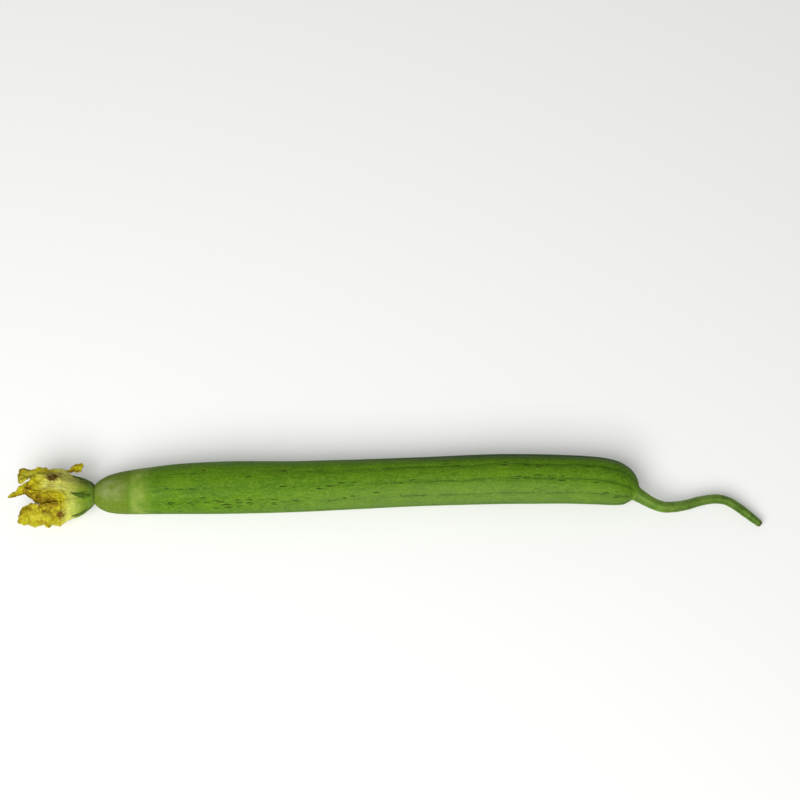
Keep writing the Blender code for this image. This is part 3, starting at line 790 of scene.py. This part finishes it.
PETALS = (
    Petal(
        "front",
        (
            *on_cone(-12), (22, 18.2, -13, 13.5, 0), (32, 19.5, -11, 14.5, 0),
            (37.5, 18.8, -11, 14, 0), (41.5, 17.4, -11, 10, 0), (46, 15.6, -12, 6, 0),
            (50, 13.9, -5, 3.6, 0), (54, 12.2, 5.5, 2, 0), (59, 10.4, 16, 0.5, 0),
        ),
        bend=16.5, folds=2.2, depth=1.3, curl=(1, 1.5), ragged=0, seed=3.1,
        calm=(-1.3, 0.3, 0.62), crepe=0.8, age=0.5, browned=1,
    ),
    Petal(
        "lower",
        (
            *on_cone(60), (22, 18, 68, 13, 0), (36, 20, 73, 13.9, 0),
            (45, 19.4, 70, 13.6, 0), (50.5, 18.6, 66, 9.4, 0),
        ),
        bend=17, folds=2.6, depth=1.6, curl=(1, -1), ragged=0.7, seed=7.7,
        calm=(-0.35, 0.9, 0.42), crepe=1, age=0.1, browned=-1,
    ),
    Petal(
        "under",
        (
            *on_cone(132), (22, 15, 142, 12, 0), (36, 15, 150, 12, 0),
            (45, 13.5, 153, 7, 0),
        ),
        bend=18, folds=1.8, depth=0.8, curl=(0, 1), ragged=1, seed=12.4,
        calm=(-0.6, 0.6, 0.5), crepe=0.7, age=0.35,
    ),
    Petal(
        "back",
        (
            *on_cone(204), (22, 14, 212, 12, 0), (34, 13.5, 220, 11, 0),
            (43, 11, 224, 6, 0),
        ),
        bend=14, folds=1.8, depth=1, curl=(1, 1), ragged=0.5, seed=18.9,
        calm=(-0.6, 0.6, 0.5), crepe=0.8, age=0.4,
    ),
    Petal(
        "top",
        (
            *on_cone(276), (22, 19, 284, 11.5, 0), (36, 19.6, 295, 11.5, 0),
            (41.5, 19.6, 300, 10.8, 5), (45.5, 19.4, 305, 8.8, 12), (52, 18.6, 320, 6.6, 24),
        ),
        bend=12, folds=2.3, depth=1.2, curl=(-1, 1), ragged=0.4, seed=23.6,
        calm=(-1.3, 1.3, 0.55), crepe=0.65, age=0.05, browned=-1,
    ),
    Petal(
        "scrap",
        (
            (26, 19.6, 290, 2.2, 20), (21.5, 19, 289, 1.1, 50), (18.6, 18.7, 288, 1.2, 75),
            (16.8, 20.2, 287, 2.9, 88), (13, 21, 286, 3.2, 88), (9.3, 21, 286, 3.2, 88),
        ),
        bend=6, folds=1, depth=0.8, curl=(0.5, 0.5), ragged=0.3, seed=29.3,
        calm=(-0.5, 0.5, 0.3), crepe=0.9, age=1.1, hugs=(0, 1),
    ),
)

# Rotten spots: where each is along the axis, from it and round it, its radius, how deep it
# has sunk, how high its curled rim stands and how dark it is. Each is a little ragged and
# knotted. Its rim, and where its brown is full and ends, are given in its radius.
ROTTEN = (
    (27, 19.5, -32, 3.9, 1.6, 0.7, 1),
    (28, 19.2, -15, 2.7, 0.4, 0, 0.45),
    (22, 18, 61, 2.7, 0.8, 0.2, 1),
    (36.5, 19, 16, 2.3, 0.5, 0.2, 0.8),
    (31.5, 20, 48, 2.5, 0.5, 0.2, 0.65),
    (19, 18, 79, 1.2, 0.2, 0.1, 0.5),
)
RAGGED, RAGGED_SCALE = 0.5, 0.45
KNOTS, KNOT_SCALE = 0.9, 0.8
RIM_AT, RIM_WIDTH = 1.35, 0.35
ROT_FULL, ROT_ENDS = 0.75, 1.75

# Shrivelled tissue: how large its puckers and its wrinkles are and how deep, in millimetres.
# They run along the petal, so they are longer that way. Calm tissue keeps a share of them, and
# fades into the rest outside and inside its margins and about its end.
PUCKERS = ((5.2, 1.5), (2.4, 0.8))
WRINKLES = ((7, 1.1), (3, 0.45), (1.2, 0.16))
STRETCH = 1.5
CALM, CALM_OUTSIDE, CALM_INSIDE, CALM_ENDS = 0.22, 0.3, 0.1, 0.12
CREASE_WIDTH, FINE_CREASE = 0.5, 0.6
WRINKLE_SPREAD = 0.22
WARP, WARP_SIZE = 1.6, 5
VEINS = 9
VEIN_HEIGHT, VEIN_WIDTH = 0.14, 0.16
VEIN_DRIFT, VEIN_DRIFT_SIZE = 0.08, 12
TEETH = ((2.4, 0.9), (1.1, 0.45))
FRILL, FRILL_SIZE = 1.6, 2.6
# How narrow the gold band along a margin is, where a lower power is a wider band, and where it
# begins along the petal and at its tip.
EDGE_SHARP, EDGE_BROWNED = 6, 2
EDGE_BEGINS, TIP_BEGINS = (0.3, 0.55), 0.94
# Where along a petal its green foot is full and where it has faded out, and where across the
# flower painted shade turns its green to the darker green of the far shoulder, in millimetres.
GREEN_FULL, GREEN_ENDS = 9, 28.5
FAR_SHADE_SPAN = (-2.5, 5)


def cone_rho(a):
    """How far the cone's surface is from the axis, at a distance along it."""
    return spline([(rho,) for _, rho in PETAL_CONE], CONE_STEPS, min(a, CONE_STEPS[-1]))[0]


def flower_point(a, rho, turn):
    """A point of the flower's own frame, in the model's."""
    angle = math.radians(turn)
    bow = FLOWER_BOW * smooth(0, FLOWER_BOW_FULL, a)
    return FLOWER_NECK + Vector((-a, -rho * math.sin(angle) - bow, rho * math.cos(angle)))


def above_floor(point, wall):
    """The point eased up, so that what would hang lower lies along the surface instead."""
    clear = wall / MM / 2 + FLOOR_CLEAR
    spare = (point.z - clear) / FLOOR_EASE
    eased = max(spare, 0) + math.log1p(math.exp(-abs(spare)))
    point.z = clear + FLOOR_EASE * eased
    return point


def petal_station(petal, u, v):
    """The petal's station at u, with the waves and teeth of its margins and its torn tip. Each
    is read from a slice of the noise of its own, 0.5, 3.5, 5.5 or 8.5."""
    at = petal.steps[-1] * u
    a, rho, turn, half, roll = spline(petal.stations, petal.steps, at)
    side = math.copysign(1, v)
    wave = noise.noise(Vector((u * WAVE_SCALE, petal.seed, 5.5 + side)))
    tear = noise.noise(Vector((v * TEAR_SCALE, petal.seed, 0.5)))
    torn = petal.ragged * u * u * (TEAR * tear - TEAR_ROUND * abs(v) ** 3)
    outward = math.copysign(1, petal.stations[-1][0] - petal.stations[0][0])
    narrow = min(1, half / NARROW)
    half *= 1 + WAVE * wave * u
    for size, reach in TEETH:
        tooth = noise.noise(Vector((at / size, petal.seed, 8.5 + side)))
        nick = noise.noise(Vector((v * half / size, petal.seed, 3.5)))
        half += reach * tooth * u * narrow
        torn += reach * nick * u**4 * narrow
    return a + outward * torn, rho, turn, half, roll


def petal_lift(petal, u, v, half, free):
    """How far folds, crumples and curled margins raise the blade, once it is free."""
    fold = math.sin(math.pi * petal.folds * (v + FOLD_SLANT * u) + petal.seed)
    along, across = CRUMPLE_SCALES
    crumple = noise.noise(Vector((u * along, v * across, petal.seed)))
    waves = petal.depth * fold * (1 - FOLD_CALM * (1 - abs(v))) + CRUMPLE * crumple * u
    curl = petal.curl[0 if v < 0 else 1] * abs(v) ** 3 * u
    tuck = PETAL_TUCK * (1 + v) / 2
    return free * (waves * min(1, half / NARROW) ** 2 + curl) - (1 - free) * tuck


def shrivelled(petal, u, v):
    """How far the petal's tissue has shrivelled there, from 0 to 1."""
    low, high, end = petal.calm
    calm = smooth(low - CALM_OUTSIDE, low + CALM_INSIDE, v)
    calm *= 1 - smooth(high - CALM_INSIDE, high + CALM_OUTSIDE, v)
    return 1 - calm * (1 - smooth(end - CALM_ENDS, end + CALM_ENDS, u))


def wrinkle_lift(petal, u, v, half, loose):
    """(lift, crease): how far puckers, wrinkles, veins and the frills of the outer half raise
    the blade, in millimetres, and how deep in a crease the place is, from 0 to 1. What is added
    to the petal's seed gives each a noise of its own."""
    along, across = petal.steps[-1] * u, half * v
    spot = Vector((along / WARP_SIZE, across / WARP_SIZE, petal.seed))
    along += WARP * noise.noise(spot)
    across += WARP * noise.noise(spot + Vector((0, 0, 20)))
    lift, crease = 0, 0
    for number, (size, depth) in enumerate(PUCKERS):
        spot = Vector((along / (size * STRETCH), across / size, petal.seed + 7 * number))
        near, next_near = noise.voronoi(spot)[0][:2]
        top = smooth(0, CREASE_WIDTH, next_near - near)
        lift += depth * (top - 0.5)
        crease = max(crease, (1 - top) * (FINE_CREASE if number else 1))
    for number, (size, depth) in enumerate(WRINKLES):
        spot = Vector((along / (size * STRETCH), across / size, petal.seed + 40 + 7 * number))
        lift += depth * (0.5 - abs(noise.noise(spot)) / WRINKLE_SPREAD)
    spot = Vector((along / VEIN_DRIFT_SIZE, across / VEIN_DRIFT_SIZE, petal.seed + 50))
    drift = VEIN_DRIFT * noise.noise(spot)
    beside = abs((v * VEINS / 2 + VEINS * drift) % 1 - 0.5)
    vein = VEIN_HEIGHT * math.exp(-((beside / VEIN_WIDTH) ** 2))
    frill = noise.noise(Vector((along / FRILL_SIZE, math.copysign(3, v), petal.seed)))
    lift += FRILL * frill * smooth(0.5, 1, abs(v))
    return lift * loose + vein * smooth(0, 0.15, u), crease * loose


def rotten_lift(point):
    """(lift, rot): the pits and curled rims of the rotten spots, and how rotten it is."""
    lift, rot = 0, 0
    for at, rho, turn, radius, sunk, rim, dark in ROTTEN:
        off = (point - flower_point(at, rho, turn)).length
        off *= 1 + RAGGED * noise.noise(point * RAGGED_SCALE)
        knotted = 1 + KNOTS * noise.noise(point * KNOT_SCALE)
        lift -= sunk * knotted * math.exp(-((off / radius) ** 4))
        lift += rim * math.exp(-(((off - RIM_AT * radius) / (RIM_WIDTH * radius)) ** 2))
        rot = max(rot, dark * (1 - smooth(radius * ROT_FULL, radius * ROT_ENDS, off)))
    return lift, rot


def petal_vertex(petal, u, v, look):
    """(point, the values of PETAL_VALUES) of the petal's middle surface: u is 0 at the root
    and 1 at the tip, v is -1 to 1."""
    a, rho, turn, half, roll = petal_station(petal, u, v)
    free = smooth(*petal.hugs, a)
    rho = cone_rho(a) * (1 - free) + rho * free
    bend = cone_rho(a) * (1 - free) + petal.bend * free
    arc = v * min(half / bend, MOST_ARC)
    middle = flower_point(a, rho, turn)
    facing = (middle - flower_point(a, 0, turn)).normalized()
    sideways = Vector((1, 0, 0)).cross(facing)
    tip_over = math.radians(roll)
    normal = facing * math.cos(tip_over) + sideways * math.sin(tip_over)
    across = sideways * math.cos(tip_over) - facing * math.sin(tip_over)
    point = middle + across * bend * math.sin(arc) - normal * bend * (1 - math.cos(arc))
    raised = normal * math.cos(arc) + across * math.sin(arc)
    point += raised * petal_lift(petal, u, v, half, free)
    withered = shrivelled(petal, u, v)
    loose = free * look.wrinkles * petal.crepe * (CALM + (1 - CALM) * withered)
    fine, crease = wrinkle_lift(petal, u, v, half, loose)
    pit, rot = rotten_lift(point)
    point += raised * (fine + pit)
    inward = EDGE_BROWNED if v * petal.browned > 0 else EDGE_SHARP
    inward *= min(1, half / NARROW)
    edge = max(abs(v) ** inward, smooth(TIP_BEGINS, 1, u)) * smooth(*EDGE_BEGINS, u)
    from_neck = petal.stations[0][0] + petal.steps[-1] * u
    values = (from_neck, withered * free, edge, crease, rot)
    return above_floor(point, look.petal_wall), values


def petal_mesh(petal, look):
    """The petal's middle surface with the values that its material follows."""
    rows = round(petal.steps[-1] / PETAL_GRAIN)
    widest = max(half for _, _, _, half, _ in petal.stations)
    columns = round(2 * widest / PETAL_GRAIN)

    def vertex(i, j):
        return petal_vertex(petal, i / (rows - 1), 2 * j / (columns - 1) - 1, look)

    return sheet_mesh("petal_" + petal.name, rows, columns, vertex, PETAL_VALUES)


def green_with_far_shade(tree, here, near, far):
    """The green of the flower's foot: fresh on its near side, and darkened by painted shade on its
    far shoulder.
    """
    low, high = FAR_SHADE_SPAN
    across = add(tree, SPLIT, here).outputs[1]
    shaded = add(tree, RANGE, across, low * MM, high * MM, **EASED)
    return painted(tree, near, (shaded, far))


def petal_material(look, age):
    """Wilted petal: thin, limp and translucent tissue with a matt face, pale lemon where it
    is still full, deeper yellow where it has shrunk, and gold to brown along its torn margins and
    in its creases, where the gold is partly browning and partly painted shade. Its foot is green,
    with painted shade on its far side."""
    made, tree = new_material("Wilted petal, thin dull tissue", 0.65, 1.4, 0.15)
    here = add(tree, COORDS).outputs["Object"]
    from_neck, withered, edge, crease, rot = (
        add(tree, NAMED, attribute_name=name).outputs["Fac"] for name in PETAL_VALUES
    )
    patch = pattern(tree, here, 110, 4, 0.35, 0.65)
    fibre = pattern(tree, here, (260, 1400, 1400), 2, 0.35, 0.65)
    mottle = pattern(tree, here, 420, 3, 0.38, 0.62)
    shrunk = add(tree, "MULTIPLY", withered, 0.55 + age)
    shrunk = add(tree, "MULTIPLY_ADD", patch, 0.3, shrunk)
    shrunk = add(tree, "MULTIPLY_ADD", mottle, 0.2, shrunk, use_clamp=True)
    # Partly painted shade: creases darken to gold, and the deepest to rotten brown, on top of the
    # browned margins.
    deep = add(tree, "MULTIPLY", crease, add(tree, RANGE, patch, 0, 1, 0.35, 1.3))
    browned_and_shaded = add(tree, "MULTIPLY_ADD", edge, mottle, deep)
    most = look.browning_and_crease_shade * (0.8 + 0.6 * age)
    browned_and_shaded = add(tree, "MULTIPLY", browned_and_shaded, most, use_clamp=True)
    veined = add(tree, "MULTIPLY_ADD", fibre, 5, from_neck)
    flecks = pattern(tree, here, 800, 2, 0.45, 0.7, 1, 0.45)
    colour = painted(
        tree,
        look.pale,
        (shrunk, look.yellow),
        (browned_and_shaded, look.gold),
        (add(tree, RANGE, browned_and_shaded, 0.75, 1, 0, 0.4), look.rotten),
        (
            add(tree, RANGE, veined, GREEN_ENDS, GREEN_FULL, **EASED),
            green_with_far_shade(tree, here, look.foot, look.shoulder),
        ),
        (add(tree, "MULTIPLY", fibre, 0.22), look.vein),
        (add(tree, "MULTIPLY", flecks, rot), look.rotten),
    )
    grain = add(tree, NOISE, {"Vector": here, "Scale": 1500, "Detail": 2})
    inputs = {
        "Base Color": colour,
        "Subsurface Weight": 0.18,
        "Subsurface Radius": (1.6, 1.3, 0.4),
        "Subsurface Scale": MM,
    }
    return surfaced(made, inputs, add(tree, "ADD", fibre, grain), height=0.12)


def calyx_point(u, v):
    """(point, how dark a green): a floor against the neck, a cup and five lobes. The lobes are
    the darkest, and each one's green runs down the cup in a stripe."""
    turn = FIRST_SEPAL + 360 * v
    if u < CALYX_FLOOR_SHARE:
        reach = CALYX_FLOOR_RADIUS * u / CALYX_FLOOR_SHARE
        return flower_point(CALYX_FLOOR, reach, turn), 0
    across = abs((v * SEPALS + 0.5) % 1 - 0.5) * 2
    lobe = max(0, 1 - across / SEPAL_SPAN) ** SEPAL_TAPER
    rim = SEPAL_SINUS + (SEPAL_TIP - SEPAL_SINUS) * lobe
    climb = (u - CALYX_FLOOR_SHARE) / (1 - CALYX_FLOOR_SHARE)
    a = CALYX_FLOOR + (rim - CALYX_FLOOR) * climb
    beyond = max(0, a - SEPAL_SINUS) / (SEPAL_TIP - SEPAL_SINUS)
    turn -= SEPAL_LEAN * beyond
    midrib = MIDRIB * math.exp(-((across / MIDRIB_WIDTH) ** 2)) * smooth(0, MIDRIB_FULL, a)
    scales = CALYX_UNEVEN_SCALES
    uneven = CALYX_UNEVEN * noise.noise(Vector((a * scales[0], v * scales[1], 4.2)))
    clear = CALYX_CLEAR + (RIM_CLEAR - CALYX_CLEAR) * smooth(1, SEPAL_SINUS, a)
    clear += (SEPAL_CLEAR - RIM_CLEAR) * smooth(SEPAL_SINUS, SEPAL_TIP, a)
    stripe = STRIPE * lobe * smooth(CALYX_FLOOR, SEPAL_SINUS, a)
    return flower_point(a, cone_rho(a) + clear + midrib + uneven, turn), max(stripe, beyond)


def calyx_mesh(look):
    """The calyx as an open sheet, with how dark a green each place is. Its floor's middle is
    merged into one vertex."""

    def vertex(i, j):
        place, green = calyx_point(i / (CALYX_ROWS - 1), j / CALYX_COLUMNS)
        return above_floor(place, look.calyx_wall), (green,)

    mesh = sheet_mesh("calyx_cup", CALYX_ROWS, CALYX_COLUMNS, vertex, (FROM_NECK,), closed=True)
    shape = bmesh.new()
    shape.from_mesh(mesh)
    bmesh.ops.remove_doubles(shape, verts=shape.verts, dist=MERGE)
    shape.to_mesh(mesh)
    shape.free()
    return mesh


def calyx_material(look):
    """Calyx: leafy green tissue with a dull face, mid green in its cup and darker along its
    pointed lobes, with fine veins, and painted shade on its far shoulder and towards the neck."""
    made, tree = new_material("Luffa calyx, dull green leaf", 0.6, 1.42, 0.25)
    here = add(tree, COORDS).outputs["Object"]
    up = add(tree, NAMED, attribute_name=FROM_NECK).outputs["Fac"]
    fibre = pattern(tree, here, (200, 900, 900), 2, 0.35, 0.65)
    lobe = add(tree, "MULTIPLY_ADD", fibre, 0.3, add(tree, RANGE, up, 0, 0.3, **EASED))
    # Painted shade between the calyx and the fruit: its green darkens towards the neck.
    x = add(tree, SPLIT, here).outputs[0]
    joint = add(tree, RANGE, x, (NECK.x - 4) * MM, NECK.x * MM, 0, 0.15)
    # Painted shade on the far shoulder, as on the petals' feet.
    green = green_with_far_shade(tree, here, look.cup, look.shoulder)
    colour = painted(tree, green, (lobe, look.sepal), (joint, look.shoulder))
    return surfaced(made, {"Base Color": colour}, fibre)


def stigma_material(look):
    """Withered stigma: dry brown tissue, wrinkled and matt."""
    made, tree = new_material("Withered stigma, dry brown tissue", 0.75)
    here = add(tree, COORDS).outputs["Object"]
    patch = pattern(tree, here, 400, 4, 0.35, 0.65)
    return surfaced(made, {"Base Color": painted(tree, look.rotten, (patch, look.gold))})


def stigma_mesh():
    """Three shrunken lobes round the top of a short style, and the foot that it stands on."""
    shape = bmesh.new()
    for number in range(STIGMA_LOBES):
        middle = flower_point(STIGMA_AT, STIGMA_OUT, 360 * number / STIGMA_LOBES)
        lobe = bmesh.ops.create_icosphere(shape, subdivisions=4, radius=STIGMA_RADIUS)["verts"]
        for vertex in lobe:
            dent = noise.noise(vertex.co * DENT_SCALE + Vector((number * 9, 0, 0)))
            vertex.co *= STIGMA_ROUND + STIGMA_DENT * dent
            vertex.co += middle
    for start, end, first, second in STYLE_STRETCHES:
        middle = flower_point((start + end) / 2, 0, 0)
        turned = Matrix.Translation(middle) @ Matrix.Rotation(math.radians(-90), 4, "Y")
        size = {"radius1": first, "radius2": second, "depth": end - start, "matrix": turned}
        bmesh.ops.create_cone(shape, cap_ends=True, segments=40, **size)
    bmesh.ops.scale(shape, vec=(MM, MM, MM), verts=shape.verts)
    mesh = bpy.data.meshes.new("stigma")
    shape.to_mesh(mesh)
    shape.free()
    mesh.shade_smooth()
    return mesh


# The stage

def floor_material(look):
    """Studio paper on a light table: matt and near white with a faint tooth, and lit a
    little from beneath, so that the shadows on it stay pale."""
    made, tree = new_material("Studio paper, lit from beneath", 0.85)
    here = add(tree, COORDS).outputs["Object"]
    tooth = add(tree, NOISE, {"Vector": here, "Scale": 900, "Detail": 2})
    shade = add(tree, RANGE, tooth, 0, 1, 0.97)
    colour = add(tree, VECTOR, look.floor, {"Scale": shade}, operation="SCALE")
    inputs = {
        "Base Color": colour,
        "Emission Color": (1, 1, 1, 1),
        "Emission Strength": look.floor_glow,
    }
    return surfaced(made, inputs, tooth, 0.3, 0.1)


def aimed(name, data, place):
    """Puts a camera or a lamp at a place, looking at the target."""
    made = bpy.data.objects.new(name, data)
    made.location = place
    made.rotation_euler = (VIEW_TARGET - place).to_track_quat("-Z", "Y").to_euler()
    bpy.context.scene.collection.objects.link(made)
    return made


def round_target(azimuth, elevation, distance):
    """The place at that azimuth and elevation, in radians, and distance from the target."""
    level = math.cos(elevation)
    away = (math.sin(azimuth) * level, -math.cos(azimuth) * level, math.sin(elevation))
    return VIEW_TARGET + Vector(away) * distance


# The add-on: its settings, its operators and its panel

def colour_of(label, what, code):
    """A colour setting that starts from an sRGB hex code."""
    return bpy.props.FloatVectorProperty(
        name=label, description=what, default=linear(code), subtype="COLOR", min=0, max=1
    )


def number_of(label, what, start, **limits):
    """A setting that is a number, with its unit or its limits."""
    return bpy.props.FloatProperty(name=label, description=what, default=start, **limits)


def share_of(label, what, start):
    """A setting from 0 to 1."""
    return number_of(label, what, start, min=0, max=1, subtype="FACTOR")


def length_of(label, what, start):
    """A length, given in millimetres here and kept in metres."""
    return number_of(label, what, start * MM, min=0, precision=5, unit="LENGTH")


def angle_of(label, what, start):
    """An angle, given in degrees here and kept in radians."""
    return number_of(label, what, math.radians(start), subtype="ANGLE")


class FruitLook(bpy.types.PropertyGroup):
    """The fruit's skin."""

    rind: colour_of("Rind", "The lighter green of the skin", "5F8613")
    rind_dark: colour_of("Dark rind", "The darker green between its paler streaks", "3D630B")
    specks: colour_of("Specks", "The small paler specks all over the skin", "7E9C38")
    dome: colour_of("Dome", "The green of the smooth end at the flower", "62751F")
    # This colour also paints the highlight low on the near side.
    bloom_and_sheen: colour_of("Bloom", "The whitish bloom on that end", "939A66")
    band: colour_of("Band", "The patchy paler ring behind the dome", "839640")
    marks: colour_of("Marks", "The dark lines along the grooves and the dashes", "1F3004")
    joint: colour_of("Joint", "The skin where the stalk leaves it", "5C7D24")
    # Painted shade: the darker green painted along the fruit's far side.
    far_side_shade: colour_of("Flank", "The deeper green along the far side", "2C4714")
    roughness: share_of("Roughness", "How broad the wax makes the highlights", 0.58)
    wax: share_of("Wax", "How strongly the wax mirrors light", 0.12)
    line_strength: share_of("Line strength", "How dark the lines are", 0.5)
    dash_strength: share_of("Dash strength", "How dark the dashes are", 0.9)
    groove_depth: length_of("Groove depth", "How deep the grooves are at the stalk's end", 0.6)
    unevenness: length_of("Unevenness", "How far the skin swells and dips", 0.5)


class StalkLook(bpy.types.PropertyGroup):
    """The stalk and the down on it."""

    stalk: colour_of("Stalk", "The lighter green of the stalk", "6C8C32")
    # Also the painted shade in the hollows of the ribs.
    stalk_dark: colour_of("Dark stalk", "The darker green of its hollows", "365410")
    # Paints a sheen on the stalk's side that faces +Y, partly its real grey coating.
    bloom_and_sheen: colour_of("Bloom", "The grey bloom on its upper side", "98A87A")
    cut: colour_of("Cut", "The dry face where it was cut", "40471F")
    roughness: share_of("Roughness", "How matt the stalk is", 0.6)
    wax: share_of("Wax", "How strongly its surface mirrors light", 0.2)
    rib_depth: share_of("Rib depth", "How far its ribs stand, as a share of its radius", 0.045)
    unevenness: length_of("Unevenness", "How far its surface swells and dips", 0.5)
    hair: colour_of("Hairs", "The down on the stalk and the calyx", "9DAA74")
    hair_length: length_of("Hair length", "The length of the longer hairs", 0.55)
    hairiness: number_of("Hairiness", "Hairs to a square millimetre", 1.3, min=0)


class FlowerLook(bpy.types.PropertyGroup):
    """The calyx, the wilted petals and the stigma."""

    pale: colour_of("Pale yellow", "Petals that are still full", "D6D771")
    yellow: colour_of("Yellow", "Petals that have shrunk", "BAB50A")
    # Browned margins, and painted shade in the creases.
    gold: colour_of("Gold", "Creases and torn margins", "988508")
    rotten: colour_of("Rotten", "Spots that have rotted", "5E3606")
    foot: colour_of("Foot", "The green foot of each petal", "6C8A1E")
    # Painted shade: the darker green painted on the far side of the petals' feet and the calyx,
    # and towards the neck.
    shoulder: colour_of("Shoulder", "The dark green of the foot's far side", "34480F")
    vein: colour_of("Vein", "The veins along each petal", "97973A")
    cup: colour_of("Cup", "The calyx's cup", "73922A")
    sepal: colour_of("Sepal", "The calyx's pointed lobes", "465F0A")
    petal_wall: length_of("Petal wall", "How thick the petals are", 0.35)
    calyx_wall: length_of("Calyx wall", "How thick the calyx is", 0.4)
    wrinkles: number_of("Wrinkles", "How strongly the petals have shrivelled", 1, min=0)
    # Scales the browned margins and the painted shade in the creases together.
    browning_and_crease_shade: number_of("Scorch", "How far creases and margins have browned", 1, min=0)


class StageLook(bpy.types.PropertyGroup):
    """The floor, the light and the camera."""

    floor: colour_of("Floor", "The paper that the gourd lies on", "D9D9D6")
    floor_glow: share_of("Floor glow", "How much light comes through the paper", 0.22)
    ambient: number_of("Ambient", "Strength of the light from all round", 0.32, min=0)
    key_power: number_of("Key power", "Power of the soft key light", 37.5, unit="POWER")
    key_size: length_of("Key size", "Width of the key light", 1300)
    key_distance: length_of("Key distance", "From the target to the key light", 1800)
    key_azimuth: angle_of("Key azimuth", "The key light's side, anticlockwise from the front", -25)
    key_elevation: angle_of("Key elevation", "The key light's height above the floor", 48)
    elevation: angle_of("Camera elevation", "The camera's height above the floor", 70)
    distance: length_of("Camera distance", "From the target to the camera", 1340)
    lens: number_of("Lens", "The camera's focal length", 85, unit="CAMERA")


class LUFFA_OT_fruit(bpy.types.Operator):
    """Build the ribbed fruit with its marked skin"""

    bl_idname = "luffa.fruit"
    bl_label = "Fruit"

    def execute(self, context):
        look = context.scene.luffa_fruit
        values = {
            "Ribs": RIBS,
            "First groove": FIRST_GROOVE,
            "Groove depth": look.groove_depth / MM,
            "Unevenness": look.unevenness / MM,
        }
        fruit = grown(linked(fruit_sheet()), ribbed_fruit_tree(), skin_material(look), values)
        finished(fruit, "fruit")
        return {"FINISHED"}


class LUFFA_OT_stalk(bpy.types.Operator):
    """Build the ribbed stalk and the down on it"""

    bl_idname = "luffa.stalk"
    bl_label = "Stalk"

    def execute(self, context):
        look = context.scene.luffa_stalk
        values = {
            "Ribs": STALK_RIBS,
            "Rib depth": look.rib_depth,
            "Sides": STALK_SIDES,
            "Unevenness": look.unevenness,
        }
        stalk = grown(linked(stalk_path()), ribbed_stalk_tree(), stalk_material(look), values)
        finished(stalk, "stalk")
        finished(haired(stalk, "stalk_hairs", 1, look), "stalk")
        return {"FINISHED"}


class LUFFA_OT_calyx(bpy.types.Operator):
    """Build the calyx with its five pointed lobes"""

    bl_idname = "luffa.calyx"
    bl_label = "Calyx"

    def execute(self, context):
        look = context.scene.luffa_flower
        calyx = walled(linked(calyx_mesh(look), calyx_material(look)), look.calyx_wall)
        finished(calyx, "calyx")
        finished(haired(calyx, "calyx_hairs", 2, context.scene.luffa_stalk), "calyx")
        return {"FINISHED"}


class LUFFA_OT_corolla(bpy.types.Operator):
    """Build the wilted petals and the withered stigma"""

    bl_idname = "luffa.corolla"
    bl_label = "Wilted flower"

    def execute(self, context):
        look = context.scene.luffa_flower
        for petal in PETALS:
            made = linked(petal_mesh(petal, look), petal_material(look, petal.age))
            finished(walled(made, look.petal_wall), "corolla")
        finished(linked(stigma_mesh(), stigma_material(look)), "corolla")
        return {"FINISHED"}


class LUFFA_OT_stage(bpy.types.Operator):
    """Build the floor, the light and the camera"""

    bl_idname = "luffa.stage"
    bl_label = "Stage"

    def execute(self, context):
        look = context.scene.luffa_stage
        ends = (-FLOOR_SIZE / 2, FLOOR_SIZE / 2)
        corners = np.array([[(x, y, 0) for x in ends] for y in ends])
        linked(grid_mesh("floor", corners), floor_material(look))

        lamp = bpy.data.lights.new("key", "AREA")
        lamp.energy = look.key_power
        lamp.size = look.key_size
        aimed("key", lamp, round_target(look.key_azimuth, look.key_elevation, look.key_distance))

        world = bpy.data.worlds.new("studio")
        world.use_nodes = True
        light = {"Strength": look.ambient, "Color": (1, 1, 1, 1)}
        fill(world.node_tree, world.node_tree.nodes["Background"], light)
        context.scene.world = world

        camera = bpy.data.cameras.new("camera")
        camera.lens = look.lens
        place = round_target(0, look.elevation, look.distance)
        context.scene.camera = aimed("camera", camera, place)
        context.scene.view_settings.view_transform = "Standard"
        return {"FINISHED"}


class LUFFA_PT_pieces(bpy.types.Panel):
    """Builds the gourd's pieces, with the settings of each"""

    bl_label = "Luffa gourd"
    bl_space_type = "VIEW_3D"
    bl_region_type = "UI"
    bl_category = "Luffa"

    def draw(self, context):
        for operator in OPERATORS:
            self.layout.operator(operator.bl_idname)
        for group, kind in LOOKS:
            box = self.layout.box()
            box.label(text=kind.__doc__)
            for name in kind.__annotations__:
                box.prop(getattr(context.scene, group), name)


LOOKS = (
    ("luffa_fruit", FruitLook),
    ("luffa_stalk", StalkLook),
    ("luffa_flower", FlowerLook),
    ("luffa_stage", StageLook),
)
OPERATORS = (LUFFA_OT_fruit, LUFFA_OT_stalk, LUFFA_OT_calyx, LUFFA_OT_corolla, LUFFA_OT_stage)


def register():
    """Makes the settings, the operators and the panel known to Blender."""
    for group, kind in LOOKS:
        bpy.utils.register_class(kind)
        setattr(bpy.types.Scene, group, bpy.props.PointerProperty(type=kind))
    for kind in (*OPERATORS, LUFFA_PT_pieces):
        bpy.utils.register_class(kind)


def unregister():
    """Takes them away again, the last one first."""
    for kind in (LUFFA_PT_pieces, *reversed(OPERATORS)):
        bpy.utils.unregister_class(kind)
    for group, kind in reversed(LOOKS):
        delattr(bpy.types.Scene, group)
        bpy.utils.unregister_class(kind)


def main():
    """Builds every piece."""
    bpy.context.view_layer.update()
    register()
    bpy.ops.luffa.fruit()
    bpy.ops.luffa.stalk()
    bpy.ops.luffa.calyx()
    bpy.ops.luffa.corolla()
    bpy.ops.luffa.stage()


if __name__ == "__main__":
    main()
